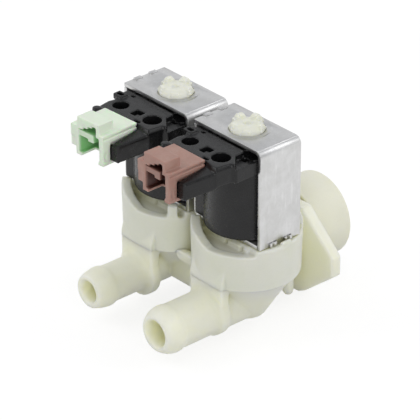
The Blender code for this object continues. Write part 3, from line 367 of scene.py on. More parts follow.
# %% Helpers for mouldings
def stood(mesh):
    """An object in the scene that holds this mesh."""
    thing = bpy.data.objects.new("blank", mesh)
    bpy.context.scene.collection.objects.link(thing)
    return thing


def as_object(bm):
    """The shells of a bmesh as an object, with their faces turned outward."""
    bmesh.ops.recalc_face_normals(bm, faces=bm.faces)
    mesh = bpy.data.meshes.new("blank")
    bm.to_mesh(mesh)
    bm.free()
    return stood(mesh)


def baked(thing):
    """The object's mesh with its modifiers applied. The object itself goes."""
    bpy.context.view_layer.update()
    ready = thing.evaluated_get(bpy.context.evaluated_depsgraph_get())
    mesh = bpy.data.meshes.new_from_object(ready)
    bpy.data.objects.remove(thing)
    return mesh


def combined(thing, forms, operation):
    """The mesh of an object after an exact boolean with the shells in forms."""
    other = as_object(forms)
    step = thing.modifiers.new("step", "BOOLEAN")
    step.operation, step.solver, step.use_self = operation, "EXACT", True
    step.object = other
    mesh = baked(thing)
    bpy.data.objects.remove(other)
    return mesh


def carved(adds, cuts=None):
    """Take the shells in cuts, if any, away from those in adds."""
    thing = as_object(adds)
    return baked(thing) if cuts is None else combined(thing, cuts, "DIFFERENCE")


def relaxed(mesh, rounds):
    """Move each point halfway towards the middle of its neighbours, round after round."""
    count = len(mesh.vertices)
    points = np.empty(count * 3)
    mesh.vertices.foreach_get("co", points)
    points = points.reshape(-1, 3)
    ends = np.empty(len(mesh.edges) * 2, np.int64)
    mesh.edges.foreach_get("vertices", ends)
    one, two = ends.reshape(-1, 2).T
    share = np.maximum(np.bincount(one, minlength=count) + np.bincount(two, minlength=count), 1)
    for _ in range(rounds):
        middle = np.stack([np.bincount(one, points[two, k], count)
                           + np.bincount(two, points[one, k], count) for k in range(3)], 1)
        points += 0.5 * (middle / share[:, None] - points)
    mesh.vertices.foreach_set("co", points.ravel())
    mesh.update()
    return mesh


def skinned(thing, voxel, rounds, faces):
    """Rebuild an object's skin from even faces, relax it, then thin the faces out to a share."""
    step = thing.modifiers.new("even", "REMESH")
    step.mode, step.voxel_size = "VOXEL", voxel
    thing = stood(relaxed(baked(thing), rounds))
    thing.modifiers.new("thin", "DECIMATE").ratio = faces
    return baked(thing)


def moulded(adds, cuts, voxel, rounds, faces=0.5):
    """Forms to a moulding: carve them, then give them one even skin."""
    return skinned(stood(carved(adds, cuts)), voxel, rounds, faces)


def placed(name, mesh, finish, stands_for, x=0.0, turn=0.0, body="housing"):
    """Carry a mesh from the drawing to its place and let it stand for its solids."""
    move = Matrix.Translation(HOME + Vector((x, 0, 0))) @ Matrix.Rotation(math.radians(turn), 4, "Z")
    mesh.transform(Matrix.Scale(MM, 4) @ move)
    mesh.name = name
    mesh.shade_smooth()
    mesh.materials.clear()
    mesh.materials.append(finish)
    thing = bpy.data.objects.new(name, mesh)
    bpy.context.scene.collection.objects.link(thing)
    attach(thing, body)
    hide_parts(*stands_for)
    print(name, "has", len(mesh.polygons), "faces")
    return thing


# %% [markdown]
# Natural nylon
#
# The body and the bonnets are unpainted nylon, milky and a little see-through. Light sinks in
# and comes out somewhat warmer, so shaded places turn towards olive; subsurface scattering does
# that. On top of it comes painted shade: the colour is painted darker and more olive where other
# surfaces are close. In the bore of a tail a paler colour is painted instead, a painted light
# that stands for the light coming through the thin wall. The mould leaves a skin that is neither
# matt nor bright, with faint ripples where the melt flowed and a very fine grain. The bonnets
# are a shade greyer than the body.

# %% Natural nylon
def place_in(tree):
    """The three coordinates of a point in the part's own space, in metres."""
    return node(tree, "SeparateXYZ", {0: node(tree, "TexCoord").outputs["Object"]}).outputs


def far_from(tree, here, other, zero):
    """Distance, across X and one other direction, from a line in the nearer valve's middle plane."""
    across = worked(tree, "SUBTRACT", worked(tree, "ABSOLUTE", here["X"]), PITCH / 2 * MM)
    along = worked(tree, "SUBTRACT", here[other], zero * MM)
    both = node(tree, "CombineXYZ", {"X": across, "Y": along}).outputs[0]
    return node(tree, "VectorMath", {0: both}, operation="LENGTH").outputs["Value"]


def bore_painted_light_mask(tree):
    """One inside the bore of either tail, where a paler colour is painted as painted light for the light that
    comes through its thin wall from all round.
    """
    here = place_in(tree)
    near = worked(tree, "LESS_THAN", far_from(tree, here, "Z", HOME.z - TAIL_DROP), 5.0 * MM)
    ahead = worked(tree, "LESS_THAN", here["Y"], (HOME.y - 18.0) * MM)
    return worked(tree, "MULTIPLY", near, ahead)


def nylon(name, light, deep, sink, depth, shaded=(0.66, 0.65, 0.42), bright=None):
    """Milky plastic. Light sinks in by depth millimetres; shaded is the painted shade tone where other
    surfaces are close, and bright, if given, is a painted light tone for the bores of the tails.
    """
    made, tree, shader = blank(name)
    flow = spots(tree, 14.0, 3.0)
    fleck = spots(tree, 0.9, 4.0)
    tone = blended(tree, spread(tree, flow, 0.0, 1.0), light, deep)
    tone = blended(tree, spread(tree, fleck, 0.0, 0.16, 0.5, 0.8), tone, tuple(0.86 * c for c in deep))
    # Painted shade: a darker, more olive tone where other surfaces are close.
    tone = with_painted_shade(tree, tone, shaded)
    # Painted light: the bores of the tails get the paler bright tone, for light through their thin walls.
    if bright:
        tone = blended(tree, bore_painted_light_mask(tree), tone, bright)
    ripple = dented(tree, spots(tree, 4.5, 2.0), 0.05)
    grain = dented(tree, spots(tree, 0.22, 2.0), 0.006, ripple)
    painted(tree, shader, tone, spread(tree, spots(tree, 2.2, 3.0), 0.36, 0.52), grain)
    shader.inputs["Subsurface Weight"].default_value = sink
    shader.inputs["Subsurface Radius"].default_value = (1.0, 0.97, 0.76)
    shader.inputs["Subsurface Scale"].default_value = depth * MM
    return made


# The third colour of each nylon is its painted shade tone.
body_nylon = nylon("body_nylon", (0.92, 0.92, 0.755), (0.89, 0.89, 0.70), 1.0, 6.0, (0.72, 0.71, 0.46),
                   (0.98, 0.965, 0.70))
bonnet_nylon = nylon("bonnet_nylon", (0.79, 0.795, 0.72), (0.75, 0.765, 0.66), 0.8, 3.0, (0.54, 0.53, 0.33))
cap_nylon = nylon("cap_plastic", (0.86, 0.855, 0.73), (0.83, 0.825, 0.69), 0.6, 1.2)
print("three tones of nylon")

# %% [markdown]
# Body
#
# One moulding holds it all: two bowls, their hose tails, the manifold between them, the plate
# and the inlet pipe behind. The real bowls have a full belly, so their profile is a bow, and
# the tails end in a rounded barb. The waterways are cut out too, since one can look into the
# tails. A voxel of 0.42 mm is fine enough for walls and barbs.

# %% Body
RIM = -14.8
TAILS = {
    "green": dict(depth=30.0, radius=6.25, barb=6.85, crest=32.1, tip=5.6, reach=38.2, bore=3.6),
    "brown": dict(depth=32.0, radius=7.65, barb=8.05, crest=33.7, tip=6.2, reach=38.9, bore=4.4),
}


def bowl_profile(depth):
    """Half section of a bowl, as (radius, height), from its flat bottom to its rim."""
    return [(0, -depth), (5.0, -depth), (6.2, -depth + 0.6), (16.0, RIM - 0.7), (16.2, RIM), (0, RIM)]


def tail_profile(radius, barb, crest, tip, reach, **_):
    """Half section of a hose tail, as (radius, distance), with its collar and rounded barb."""
    return ([(0, 2.0), (radius, 2.0), (radius, 14.0), (8.5, 14.0), (8.5, 17.2)]
            + bow((8.5, 17.4), (radius + 0.1, 17.6), (radius, 20.4), 6)
            + [(radius, crest - 2.2)]
            + bow((radius, crest - 2.0), (barb + 0.1, crest - 0.8), (barb, crest + 0.2), 5)
            + bow((barb, crest + 0.6), (barb - 0.4, reach - 2.0), (tip, reach - 0.4), 6)
            + [(tip - 0.5, reach), (0, reach)])


adds, cuts = bmesh.new(), bmesh.new()
plate = [(-15.2, -4.5), (-29.7, -17.6), (-29.7, -24.5), (-16.8, -34.9), (-13.6, -36.5),
         (13.6, -36.5), (16.8, -34.9), (29.7, -24.5), (29.7, -17.6), (15.2, -4.5)]
prism(plate, 25.8, 30.0, adds, upright=True)
turned([(0, 18.6), (12.9, 18.6), (12.9, 47.0), (12.5, 47.4), (0, 47.4)],
       (0, 0, -INLET_DROP), "back", bm=adds)
block(-12, 12, -8, 20.6, -28.3, RIM - 0.2, adds)
for tag, x in SIDES.items():
    tail = TAILS[tag]
    turned(bowl_profile(tail["depth"]), (x, 0, 0), bm=adds)
    block(x - 7.6, x + 7.6, -17.6, -14.1, -TAIL_DROP, RIM + 0.9, adds)
    block(x - 4.5, x + 4.5, -14.6, -8.3, -TAIL_DROP, RIM - 0.5, adds)
    turned(tail_profile(**tail), (x, 0, -TAIL_DROP), "front", bm=adds)
ear = [(-4.5, RIM + 1.2)] + arc(3.3, 180, 270, 12, (-1.2, RIM + 0.9)) + [(17, RIM - 2.4), (17, RIM + 1.2)]
prism(ear, -11.8, -8.8, adds, upright=True)
turned([(0, -34.4), (1.2, -34.1), (1.9, -33.0), (1.9, RIM - 4), (0, RIM - 4)], (15.3, 20.0, 0), bm=adds)
block(8.0, 15.3, 19.2, 20.8, -30.4, RIM - 4.5, adds)

for tag, x in SIDES.items():
    turned([(0, RIM + 1), (13.9, RIM + 1), (13.9, RIM - 1.6), (11.8, RIM - 1.6), (11.4, -19.5),
            (6.0, -19.5), (6.0, -17.3), (4.5, -17.3), (4.5, -TAIL_DROP), (0, -TAIL_DROP)],
           (x, 0, 0), bm=cuts)
    bore, reach = TAILS[tag]["bore"], TAILS[tag]["reach"]
    turned([(0, -1), (bore, -1), (bore, reach - 0.9), (bore + 0.8, reach + 0.3), (0, reach + 0.3)],
           (x, 0, -TAIL_DROP), "front", bm=cuts)
    turned([(0, RIM), (17.2, RIM), (17.2, RIM + 3), (0, RIM + 3)], (x, 0, 0), bm=cuts, steps=120)
turned([(0, 18.6), (7.0, 18.6), (7.0, 31.0), (10.5, 31.0), (10.5, 48.4), (0, 48.4)],
       (0, 0, -INLET_DROP), "back", bm=cuts)
block(-6, 6, -5, 19.6, -19.3, -16.7, cuts)
placed("body_moulding", moulded(adds, cuts, 0.42, 3, 0.5), body_nylon, ["valve_body"])

# %% [markdown]
# Cap on the inlet
#
# A soft smooth cap covers the thread until the valve is fitted. It is a plain turned form, so
# turning it with a fine profile is all it needs. Its rim is rounded by a bow of points.

# %% Cap on the inlet
face, skirt, wall = 49.2, 34.6, 14.6
profile = ([(0, face), (wall - 1.8, face)] + bow((wall - 1.1, face), (wall, face), (wall, face - 1.1), 8)
           + [(wall, skirt + 0.4), (wall - 0.3, skirt), (13.2, skirt), (13.2, 47.7), (0, 47.7)])
cap = turned(profile, (0, 0, -INLET_DROP), "back", 128)
placed("thread_cap", baked(as_object(cap)), cap_nylon, ["inlet_cap"])

# %% [markdown]
# Bonnets
#
# A bonnet closes each bowl and carries the guide tube of the plunger. Its top has an
# upstanding wall behind the coil and on the left, which runs down to a low ledge in front, and
# a shallow open recess with ribs under the yoke. A flange in front grows out of the round skirt
# and sits flush on the body's. The tube ends above the yoke in a crown of five blunt fingers
# with a dimpled boss between them. The two bonnets meet at a flat.

# %% Bonnets
DECK, WALL_TOP = -0.3, 2.2
YOKE_TOP = 34.6
FINGERS = ((98, 3.15), (170, 3.15), (242, 2.2), (314, 1.6), (26, 2.2))
RAMP_STEPS, RAMP_FALL = 14, 4.3


def crown_forms():
    """The crown: a dimpled dome and five blunt fingers, the two behind taller."""
    adds, base = bmesh.new(), YOKE_TOP
    profile = ([(0, base + 1.1), (0.8, base + 1.2), (1.6, base + 1.9), (2.6, base + 2.1)]
               + bow((3.2, base + 2.1), (4.9, base + 1.8), (5.8, base - 0.1), 6)
               + [(5.6, base - 0.9), (5.2, 32.6), (0, 32.6)])
    turned(profile, bm=adds, steps=120)
    for turn, tall in FINGERS:
        c, s = math.cos(math.radians(turn)), math.sin(math.radians(turn))
        for near, far, half, drop in ((3.0, 5.7, 2.1, 1.4), (3.1, 5.4, 1.5, 0.6), (3.4, 5.1, 1.15, 0.0)):
            finger = [(near, -half), (far, -half), (far, half), (near, half)]
            prism([(u * c - v * s, u * s + v * c) for u, v in finger], base - 0.4, base + tall - drop, adds)
    return adds


def bonnet_steps(tag):
    """Forms of the bonnet below, in the order in which they are added and cut."""
    side = 1 if tag == "brown" else -1
    whole, open_, more, flat = (bmesh.new() for _ in range(4))
    foot, inner = RIM + 0.3, 14.6
    turned([(0, 33.0), (5.2, 33.0), (5.2, DECK), (17.5, DECK), (17.95, DECK - 0.5), (17.6, foot - 0.7),
            (16.4, foot - 0.7), (16.4, foot), (12.4, foot), (12.4, foot + 5.0), (4.3, foot + 9.5),
            (4.3, 31.6), (0, 31.6)], bm=whole, steps=120)
    corner = math.degrees(math.asin(9.15 / inner))
    wall = [(corner, 180 - corner, 40, WALL_TOP)]
    for i in range(RAMP_STEPS):
        first = -180 + corner + 4 * i
        top = WALL_TOP - RAMP_FALL * (i / (RAMP_STEPS - 1)) ** 1.4
        if top > DECK:
            wall.append((first, first + 4.1, 3, top))
        else:
            ring_part(inner - 0.5, 19.0, first, first + 4.1, 3, top, 4.0, open_)
    for first, last, steps, top in wall:
        ring_part(inner, 17.95, first, last, steps, DECK - 1, top, whole)
    prism(arc(inner, -180 + corner, -corner, 40), DECK - 2.5, 4.0, open_)
    prism(arc(19.0, -86, -30, 24) + arc(inner - 0.5, -39, -86, 20), DECK - 1.9, 4.0, open_)
    lofted([[(-7.62, -12.0, z), (7.62, -12.0, z), (7.62, front, z), (-7.62, front, z)]
            for z, front in ((RIM - 0.35, -17.68), (RIM + 1.5, -17.66), (RIM + 8.0, -15.9))], more)
    for x0, x1 in ((-11.0, 0.6), (1.9, 7.6), (9.0, 11.5)):
        block(x0, x1, -9.9, -8.35, DECK - 3.7, DECK - 0.8, more)
    for sign in (-1, 1):
        near, far = sorted((sign * 16.35, sign * 17.6))
        block(near, far, -0.9, 3.3, DECK - 1, 0.8, more)
    if side < 0:
        ring_part(14.8, 17.55, -51, -40, 4, DECK - 4.4, WALL_TOP - 0.3, more)
    near, far = sorted((-side * 16.85, -side * 22.0))
    block(near, far, -34, 34, -20, 6, flat)
    return whole, ((open_, "DIFFERENCE"), (more, "UNION"), (flat, "DIFFERENCE"))


for tag, x in SIDES.items():
    whole, steps = bonnet_steps(tag)
    shell = as_object(whole)
    for forms, operation in steps:
        shell = stood(combined(shell, forms, operation))
    both = bmesh.new()
    both.from_mesh(skinned(shell, 0.34, 4, 0.5))
    both.from_mesh(moulded(crown_forms(), None, 0.17, 4, 0.9))
    mesh = bpy.data.meshes.new("bonnet")
    both.to_mesh(mesh)
    placed("bonnet_moulding_" + tag, mesh, bonnet_nylon, ["bonnet_" + tag], x)

# %% [markdown]
# Zinc plated sheet
#
# The yokes are folded from galvanised sheet. Zinc is a soft grey mirror: broad blotches where
# the coat froze, fine lines from rolling, and small bright scratches. Blotches and lines change
# the roughness more than the colour, which is what makes metal look handled. A press has left a
# shallow round dish about the tube.

# %% Zinc plated sheet
def zinc(name, light=0.66, dark=0.585):
    """Galvanised sheet between two greys."""
    made, tree, shader = blank(name)
    blotch = spots(tree, 5.0, 5.0, rough=0.65)
    lines = spots(tree, 0.5, 3.0, (1.0, 1.0, 14.0))
    tone = blended(tree, spread(tree, blotch, 0.0, 1.0, 0.38, 0.62), (dark, dark, dark * 0.99),
                   (light, light, light))
    streak = spread(tree, spots(tree, 1.1, 4.0, (1.0, 1.0, 9.0), 0.7), 0.0, 0.5, 0.56, 0.70)
    tone = blended(tree, streak, tone, (0.78, 0.78, 0.78))
    rough = worked(tree, "ADD", spread(tree, blotch, 0.30, 0.40), spread(tree, lines, -0.03, 0.05))
    here = place_in(tree)
    far = worked(tree, "MULTIPLY", far_from(tree, here, "Y", HOME.y), 1 / MM)
    up = worked(tree, "MULTIPLY_ADD", here["Z"], 1 / MM, -HOME.z)
    on_top = spread(tree, up, 0.0, 1.0, 34.4, 34.5)
    dish = worked(tree, "MULTIPLY", spread(tree, far, 0.0, 1.0, 7.3, 8.0), on_top)
    pressed = dented(tree, dish, 0.20)
    waves = dented(tree, spots(tree, 9.0, 1.0), 0.04, pressed)
    painted(tree, shader, tone, rough, dented(tree, lines, 0.0035, waves))
    shader.inputs["Metallic"].default_value = 1.0
    return made


yoke_zinc = zinc("yoke_zinc")

# %% [markdown]
# Yokes
#
# Each yoke is two strips of 1.25 mm sheet, folded once. The lower one is foot and left cheek,
# the upper one is top and right cheek, and tabs of the lower one are staked into slots of the
# upper one. The fold is an arc in the outline, and the outline is pushed across the width. A
# small bevel afterwards breaks the sheared edges, which catch the light.

# %% Yokes
LONG, WIDE, SHEET, FOLD = 31.3, 17.1, 1.25, 2.4
HALF = LONG / 2
END = HALF - SHEET - 0.3
UNDER = YOKE_TOP - SHEET - 0.3
TABS = (-3.15, 3.15)


def edged(thing, width):
    """Give an object a small bevel along its sharp edges."""
    step = thing.modifiers.new("edge", "BEVEL")
    step.width, step.segments, step.limit_method, step.angle_limit = width, 2, "ANGLE", math.radians(40)
    return thing


def yoke_pair():
    """Meshes of the lower and the upper half of one yoke."""
    inner = FOLD - SHEET
    low = ([(END, 0), (END, SHEET)] + arc(inner, 270, 180, 12, (-HALF + FOLD, FOLD))
           + [(-HALF + SHEET, UNDER), (-HALF, UNDER)] + arc(FOLD, 180, 270, 14, (-HALF + FOLD, FOLD)))
    adds = prism(low, -WIDE / 2, WIDE / 2, upright=True)
    for y in TABS:
        block(-HALF - 0.15, -HALF + SHEET, y - 1.4, y + 1.4, UNDER - 0.3, YOKE_TOP + 0.35, adds)
        block(END - 0.3, HALF + 0.6, y - 1.4, y + 1.4, 0, SHEET, adds)
    cuts = turned([(0, -1), (5.5, -1), (5.5, 3), (0, 3)])
    for y in TABS:
        prism([(HALF - 0.5, y), (HALF + 1, y - 0.8), (HALF + 1, y + 0.8)], -0.5, SHEET + 0.5, cuts)
    lower = carved(adds, cuts)
    high = ([(-HALF, YOKE_TOP), (-HALF, YOKE_TOP - SHEET)]
            + arc(inner, 90, 0, 12, (HALF - FOLD, YOKE_TOP - FOLD))
            + [(HALF - SHEET, 0), (HALF, 0)] + arc(FOLD, 0, 90, 14, (HALF - FOLD, YOKE_TOP - FOLD)))
    adds = prism(high, -WIDE / 2, WIDE / 2, upright=True)
    cuts = turned([(0, 32), (5.9, 32), (5.9, 36), (0, 36)])
    for y in TABS:
        block(-HALF - 1, -HALF + SHEET + 0.1, y - 1.5, y + 1.5, UNDER - 1, YOKE_TOP + 1, cuts)
        block(END - 0.5, HALF + 1, y - 1.6, y + 1.6, -1, SHEET + 0.2, cuts)
    return lower, carved(adds, cuts)


for tag, x in SIDES.items():
    for name, mesh in zip(("lower", "upper"), yoke_pair()):
        made = placed(f"yoke_{name}_sheet_{tag}", baked(edged(stood(mesh), 0.14)), yoke_zinc,
                      [f"yoke_{name}_{tag}"], x)
        made.data.set_sharp_from_angle(angle=math.radians(30))

# %% [markdown]
# Black glass filled plastic
#
# The coils are moulded round with black plastic that is full of short glass fibre. The skin is
# dark grey more than black, with a fine grain, and a little duller where the fibre comes up.

# %% Black glass filled plastic
def filled_plastic(name, dark, pale):
    """Black plastic with a cloudy tone and a fine grit."""
    made, tree, shader = blank(name)
    cloud = spots(tree, 5.0, 4.0)
    grit = spots(tree, 0.16, 2.0)
    tone = blended(tree, spread(tree, cloud, 0.0, 1.0), dark, pale)
    grain = dented(tree, grit, 0.004, dented(tree, cloud, 0.03))
    painted(tree, shader, tone, spread(tree, spots(tree, 1.2, 4.0), 0.22, 0.38), grain)
    shader.inputs["Specular IOR Level"].default_value = 0.36
    return made


coil_black = filled_plastic("coil_black", (0.0045, 0.0045, 0.0048), (0.0100, 0.0100, 0.0108))

# %% [markdown]
# Coils
#
# The moulding over the winding is a drum with a flat cover in front of the yoke. The cover has
# a raised left corner with a hollow, a low right corner, round and square holes, a knob, and
# two arms that hold the plug housing. Its top edge is chamfered all round.

# %% Coils
COVER_TOP, COVER_FOOT, BEHIND = 33.0, 26.5, -8.85


def cover_outline(turn, inset=0.0):
    """Plan of the cover. Its back follows the yoke, also where the coil sits askew."""
    left, right = -14.3 + inset, 14.1 - inset
    swing = math.radians(turn)
    back_left, back_right = [(BEHIND - x * math.sin(swing)) / math.cos(swing) for x in (left, right)]
    return [(left, back_left), (left, -13.2), (left + 1.9, -15.4), (left + 1.2, -18.0), (left + 1.6, -21.0),
            (left + 2.6, -27.5 + inset), (-9.3, -27.5 + inset), (-9.3, -22.3), (5.9, -22.3),
            (9.6, -23.6 + inset), (11.9 - inset, -23.6 + inset), (12.8 - inset, -17.8),
            (right, -17.2), (right, back_right)]


def arm_outline(inset=0.0):
    """Plan of the slim right arm, which widens from its blunt tip to the cover's corner."""
    return [(6.0, -33.9 + inset), (8.8 - inset, -33.9 + inset), (11.8 - inset, -23.5), (11.8 - inset, -22.6),
            (6.0, -22.6)]


def chamfered(plan, foot, top, drop, inset, bm):
    """A prism with a chamfer along its top edge. The plan is a function of the inset."""
    lofted([[(u, v, height) for u, v in plan(back)]
            for height, back in ((foot, 0), (top - drop, 0), (top, inset))], bm)


def coil_forms(turn):
    """Forms of one coil moulding, whose yoke is turned back by so many degrees."""
    adds, cuts = bmesh.new(), bmesh.new()
    turned([(6.8, 1.55), (13.4, 1.55), (13.8, 1.95), (13.8, 30.1), (13.5, 30.4), (8.0, 30.4), (8.0, 33.05),
            (6.8, 33.05), (6.8, 28.6), (11.7, 28.6), (11.7, 3.35), (6.8, 3.35)], bm=adds, steps=120)
    chamfered(lambda inset: cover_outline(turn, inset), COVER_FOOT, COVER_TOP, 1.0, 0.7, adds)
    arm = bmesh.new()
    chamfered(arm_outline, 24.8, 30.6, 0.5, 0.4, arm)
    for point in arm.verts:
        point.co.z += 0.15 * (point.co.y + 30.0)
    block(4.5, 6.6, -33.9, -32.2, 24.3, 29.2, arm)
    joined(adds, arm)
    block(-13.4, -9.6, -10.2, -7.6, 2.5, 27.0, adds)
    block(-5.0, 2.0, -30.0, -21.3, 26.2, 29.4, adds)
    turned([(0, 30), (1.5, 30), (1.5, 33.5), (1.3, 33.7), (0, 33.7)], (-10.8, -24.5, 0), bm=adds, steps=32)
    block(-14.2, -10.3, -14.4, -11.4, COVER_TOP - 1, COVER_TOP + 0.9, adds)
    turned([(0, 24), (11.7, 24), (11.7, 28.6), (6.8, 28.6), (6.8, 36), (0, 36)], bm=cuts)
    prism([(8.0, -8.1), (9.1, -10.4), (9.1, -13.1), (14.2, -17.8), (15.2, -17.8), (15.2, -8.1)],
          COVER_TOP - 1.9, COVER_TOP + 1, cuts)
    block(9.3, 11.4, -11.4, -9.3, COVER_TOP - 6, COVER_TOP - 1, cuts)
    block(-1.5, 2.1, -19.0, -15.4, COVER_TOP - 0.7, COVER_TOP + 1, cuts)
    block(-1.5, -0.3, -19.0, -15.4, COVER_TOP - 4, COVER_TOP + 1, cuts)
    block(-1.5, 2.1, -16.6, -15.4, COVER_TOP - 4, COVER_TOP + 1, cuts)
    block(-13.5, -11.0, -13.7, -12.1, COVER_TOP - 1, COVER_TOP + 2, cuts)
    block(-10.0, -8.4, -10.6, -9.6, COVER_TOP - 2, COVER_TOP + 1, cuts)
    block(3.0, 5.6, -21.7, -20.6, COVER_TOP - 3, COVER_TOP + 1, cuts)
    for x in (-3.3, 0.3):
        block(x - 1.5, x + 1.5, -31, -18.7, 27.2, 28.4, cuts)
    for x, radius in ((-7.5, 2.7), (7.0, 3.1)):
        turned([(0, COVER_TOP - 4), (radius, COVER_TOP - 4), (radius, COVER_TOP + 1), (0, COVER_TOP + 1)],
               (x, -17.2, 0), bm=cuts, steps=48)
    return adds, cuts


for tag, x in SIDES.items():
    adds, cuts = coil_forms(ASKEW[tag])
    placed("coil_case_" + tag, moulded(adds, cuts, 0.27, 2, 0.4), coil_black,
           ["coil_moulding_" + tag], x, ASKEW[tag])

# %% [markdown]
# Plug housings
#
# Each coil has a plug housing in a colour of its own, so that the two leads can't be mixed up.
# It is a slab on the cover, an open socket in front with a raised roof, and a thin leg with a
# toe at its right. The plastic is pale and lets some light in. Inside the socket its colour is
# painted deeper and darker, as painted shade. A box round the socket tells the finish which
# points lie inside. The walls are only about a millimetre, so the voxel is small.

# %% Plug housings
def within(tree, place, low, high):
    """One inside a box of the drawing, given by two corners in millimetres, and zero outside."""
    share = None
    for axis, start, stop in zip("XYZ", low, high):
        for limit, side in ((start, "GREATER_THAN"), (stop, "LESS_THAN")):
            test = worked(tree, side, place[axis], limit * MM)
            share = test if share is None else worked(tree, "MULTIPLY", share, test)
    return share


def dyed(tag, light, deep, sink, sunk, socket_painted_shade):
    """Pale plastic in two close tones, with a deeper, darker tone painted inside the socket as painted shade.
    """
    made, tree, shader = blank("plug_" + tag)
    home = (HOME + Vector((SIDES[tag], 0, 0))) * MM
    here = node(tree, "TexCoord").outputs["Object"]
    here = node(tree, "VectorMath", {0: here, 1: home}, operation="SUBTRACT").outputs[0]
    here = node(tree, "VectorRotate", {"Vector": here, "Angle": -math.radians(ASKEW[tag])},
                rotation_type="Z_AXIS").outputs[0]
    place = node(tree, "SeparateXYZ", {0: here}).outputs
    # Painted shade: inside the socket the tone turns to a deeper, darker one, from the socket's front inward.
    socket = worked(tree, "MAXIMUM", within(tree, place, (-5.7, -38, 24.2), (3.95, -24, 32.6)),
                    within(tree, place, (-5.7, -38, 32.5), (2.9, -32, 36.0)))
    depth = worked(tree, "MULTIPLY", spread(tree, place["Y"], 0.0, 1.0, -37.3 * MM, -36.0 * MM), socket)
    tone = blended(tree, spread(tree, spots(tree, 4.0, 3.0), 0.0, 1.0), light, deep)
    tone = blended(tree, depth, tone, socket_painted_shade)
    painted(tree, shader, tone, spread(tree, spots(tree, 1.0, 3.0), 0.38, 0.52),
            dented(tree, spots(tree, 0.18, 2.0), 0.006))
    shader.inputs["Subsurface Weight"].default_value = sink
    shader.inputs["Subsurface Radius"].default_value = sunk
    shader.inputs["Subsurface Scale"].default_value = 1.3 * MM
    return made


PLUG_TOP, SLAB_FOOT, PLUG_FOOT = 33.6, 29.6, 23.4


def plug_forms():
    """Forms of one plug housing without its shelf."""
    adds, cuts = bmesh.new(), bmesh.new()
    block(-9.0, 5.7, -37.4, -22.6, SLAB_FOOT, PLUG_TOP, adds)
    block(-9.0, 4.2, -37.2, -24.1, 26.0, SLAB_FOOT + 1, adds)
    block(-6.1, 3.8, -37.3, -31.1, PLUG_TOP - 1, PLUG_TOP + 3.3, adds)
    block(-6.8, 4.1, -37.3, -28.0, PLUG_FOOT, SLAB_FOOT + 0.5, adds)
    block(4.2, 5.7, -37.4, -34.1, PLUG_FOOT + 0.1, SLAB_FOOT + 1, adds)
    block(2.7, 5.9, -37.4, -32.1, PLUG_FOOT - 0.2, PLUG_FOOT + 0.8, adds)
    block(-5.5, 3.9, -38.4, -25.1, PLUG_FOOT + 1, SLAB_FOOT + 2.8, cuts)
    block(-5.3, 2.3, -31.1, -21.6, 25.9, 29.7, cuts)
    block(-5.5, 2.5, -36.2, -32.4, SLAB_FOOT + 2, PLUG_TOP + 2.2, cuts)
    for i in range(4):
        top = SLAB_FOOT + 2.8 + 3.4 * (i + 0.6) / 4
        block(-5.5 + 2 * i, -3.5 + 2 * i, -38.4, -35.8, SLAB_FOOT + 2, top, cuts)
    block(-4.3, 3.5, -38.4, -31.3, PLUG_FOOT - 1, PLUG_FOOT + 1.5, cuts)
    block(5.2, 6.5, -36.9, -22.0, PLUG_TOP - 1.65, PLUG_TOP - 1.1, cuts)
    block(5.1, 6.5, -34.0, -22.0, SLAB_FOOT - 1, SLAB_FOOT + 0.9, cuts)
    block(5.3, 6.5, -36.2, -35.7, PLUG_FOOT + 1.6, PLUG_FOOT + 4.4, cuts)
    return adds, cuts


def shelf_form():
    """The shelf across the socket, which carries the two blades, and its hooked lip."""
    shelf = block(-5.9, 0.8, -37.0, -25.0, 30.4, 32.2)
    return block(-1.4, 1.0, -37.0, -34.2, 29.5, 32.2, shelf)


# The last colour of each plug is its painted socket shade.
plug_green = dyed("green", (0.78, 0.86, 0.73), (0.75, 0.84, 0.70), 0.6, (0.6, 1.0, 0.5), (0.30, 0.64, 0.27))
plug_brown = dyed("brown", (0.41, 0.245, 0.20), (0.37, 0.21, 0.17), 0.35, (1.0, 0.5, 0.4),
                  (0.065, 0.020, 0.014))
for tag, finish in (("green", plug_green), ("brown", plug_brown)):
    adds, cuts = plug_forms()
    both = bmesh.new()
    both.from_mesh(carved(adds, cuts))
    both.from_mesh(carved(shelf_form()))
    placed("plug_shell_" + tag, moulded(both, None, 0.2, 2, 0.4), finish,
           ["plug_housing_" + tag], SIDES[tag], ASKEW[tag])

# %% [markdown]
# Finishes of the inner pieces
#
# The pieces inside keep the shapes of their solids. Each gets the finish it has on the real
# valve: ground steel, copper wire wound in rows, grey and white plastic and black rubber. The
# tin of the terminals is painted a dark grey instead, as painted shade of the socket they sit in.

# %% Finishes of the inner pieces
def metal(name, colour, rough, lines=(1.0, 1.0, 1.0)):
    """Bright metal with tool marks, drawn out along one direction by lines."""
    made, tree, shader = blank(name)
    marks = spots(tree, 0.4, 3.0, lines)
    tone = blended(tree, marks, tuple(0.85 * c for c in colour), colour)
    painted(tree, shader, tone, spread(tree, marks, rough - 0.05, rough + 0.1), dented(tree, marks, 0.004))
    shader.inputs["Metallic"].default_value = 1.0
    return made


def plain_plastic(name, colour, rough, grain=0.2, depth=0.01):
    """Plastic or rubber in one colour with a fine grain."""
    made, tree, shader = blank(name)
    tone = blended(tree, spread(tree, spots(tree, 2.5, 3.0), 0, 1), colour, tuple(0.88 * c for c in colour))
    painted(tree, shader, tone, spread(tree, spots(tree, 0.8, 3.0), rough, rough + 0.12),
            dented(tree, spots(tree, grain, 2.0), depth))
    return made


def wire_wound(name):
    """Enamelled copper wire, laid in rows."""
    made, tree, shader = blank(name)
    here = node(tree, "TexCoord").outputs["Object"]
    rows = node(tree, "TexWave", {"Vector": here, "Scale": 900.0, "Distortion": 0.4}, bands_direction="Z")
    tone = blended(tree, rows.outputs[1], (0.42, 0.15, 0.06), (0.80, 0.36, 0.18))
    tree.links.new(tone, shader.inputs["Base Color"])
    shader.inputs["Metallic"].default_value = 1.0
    shader.inputs["Roughness"].default_value = 0.3
    tree.links.new(dented(tree, rows.outputs[1], 0.1), shader.inputs["Normal"])
    return made


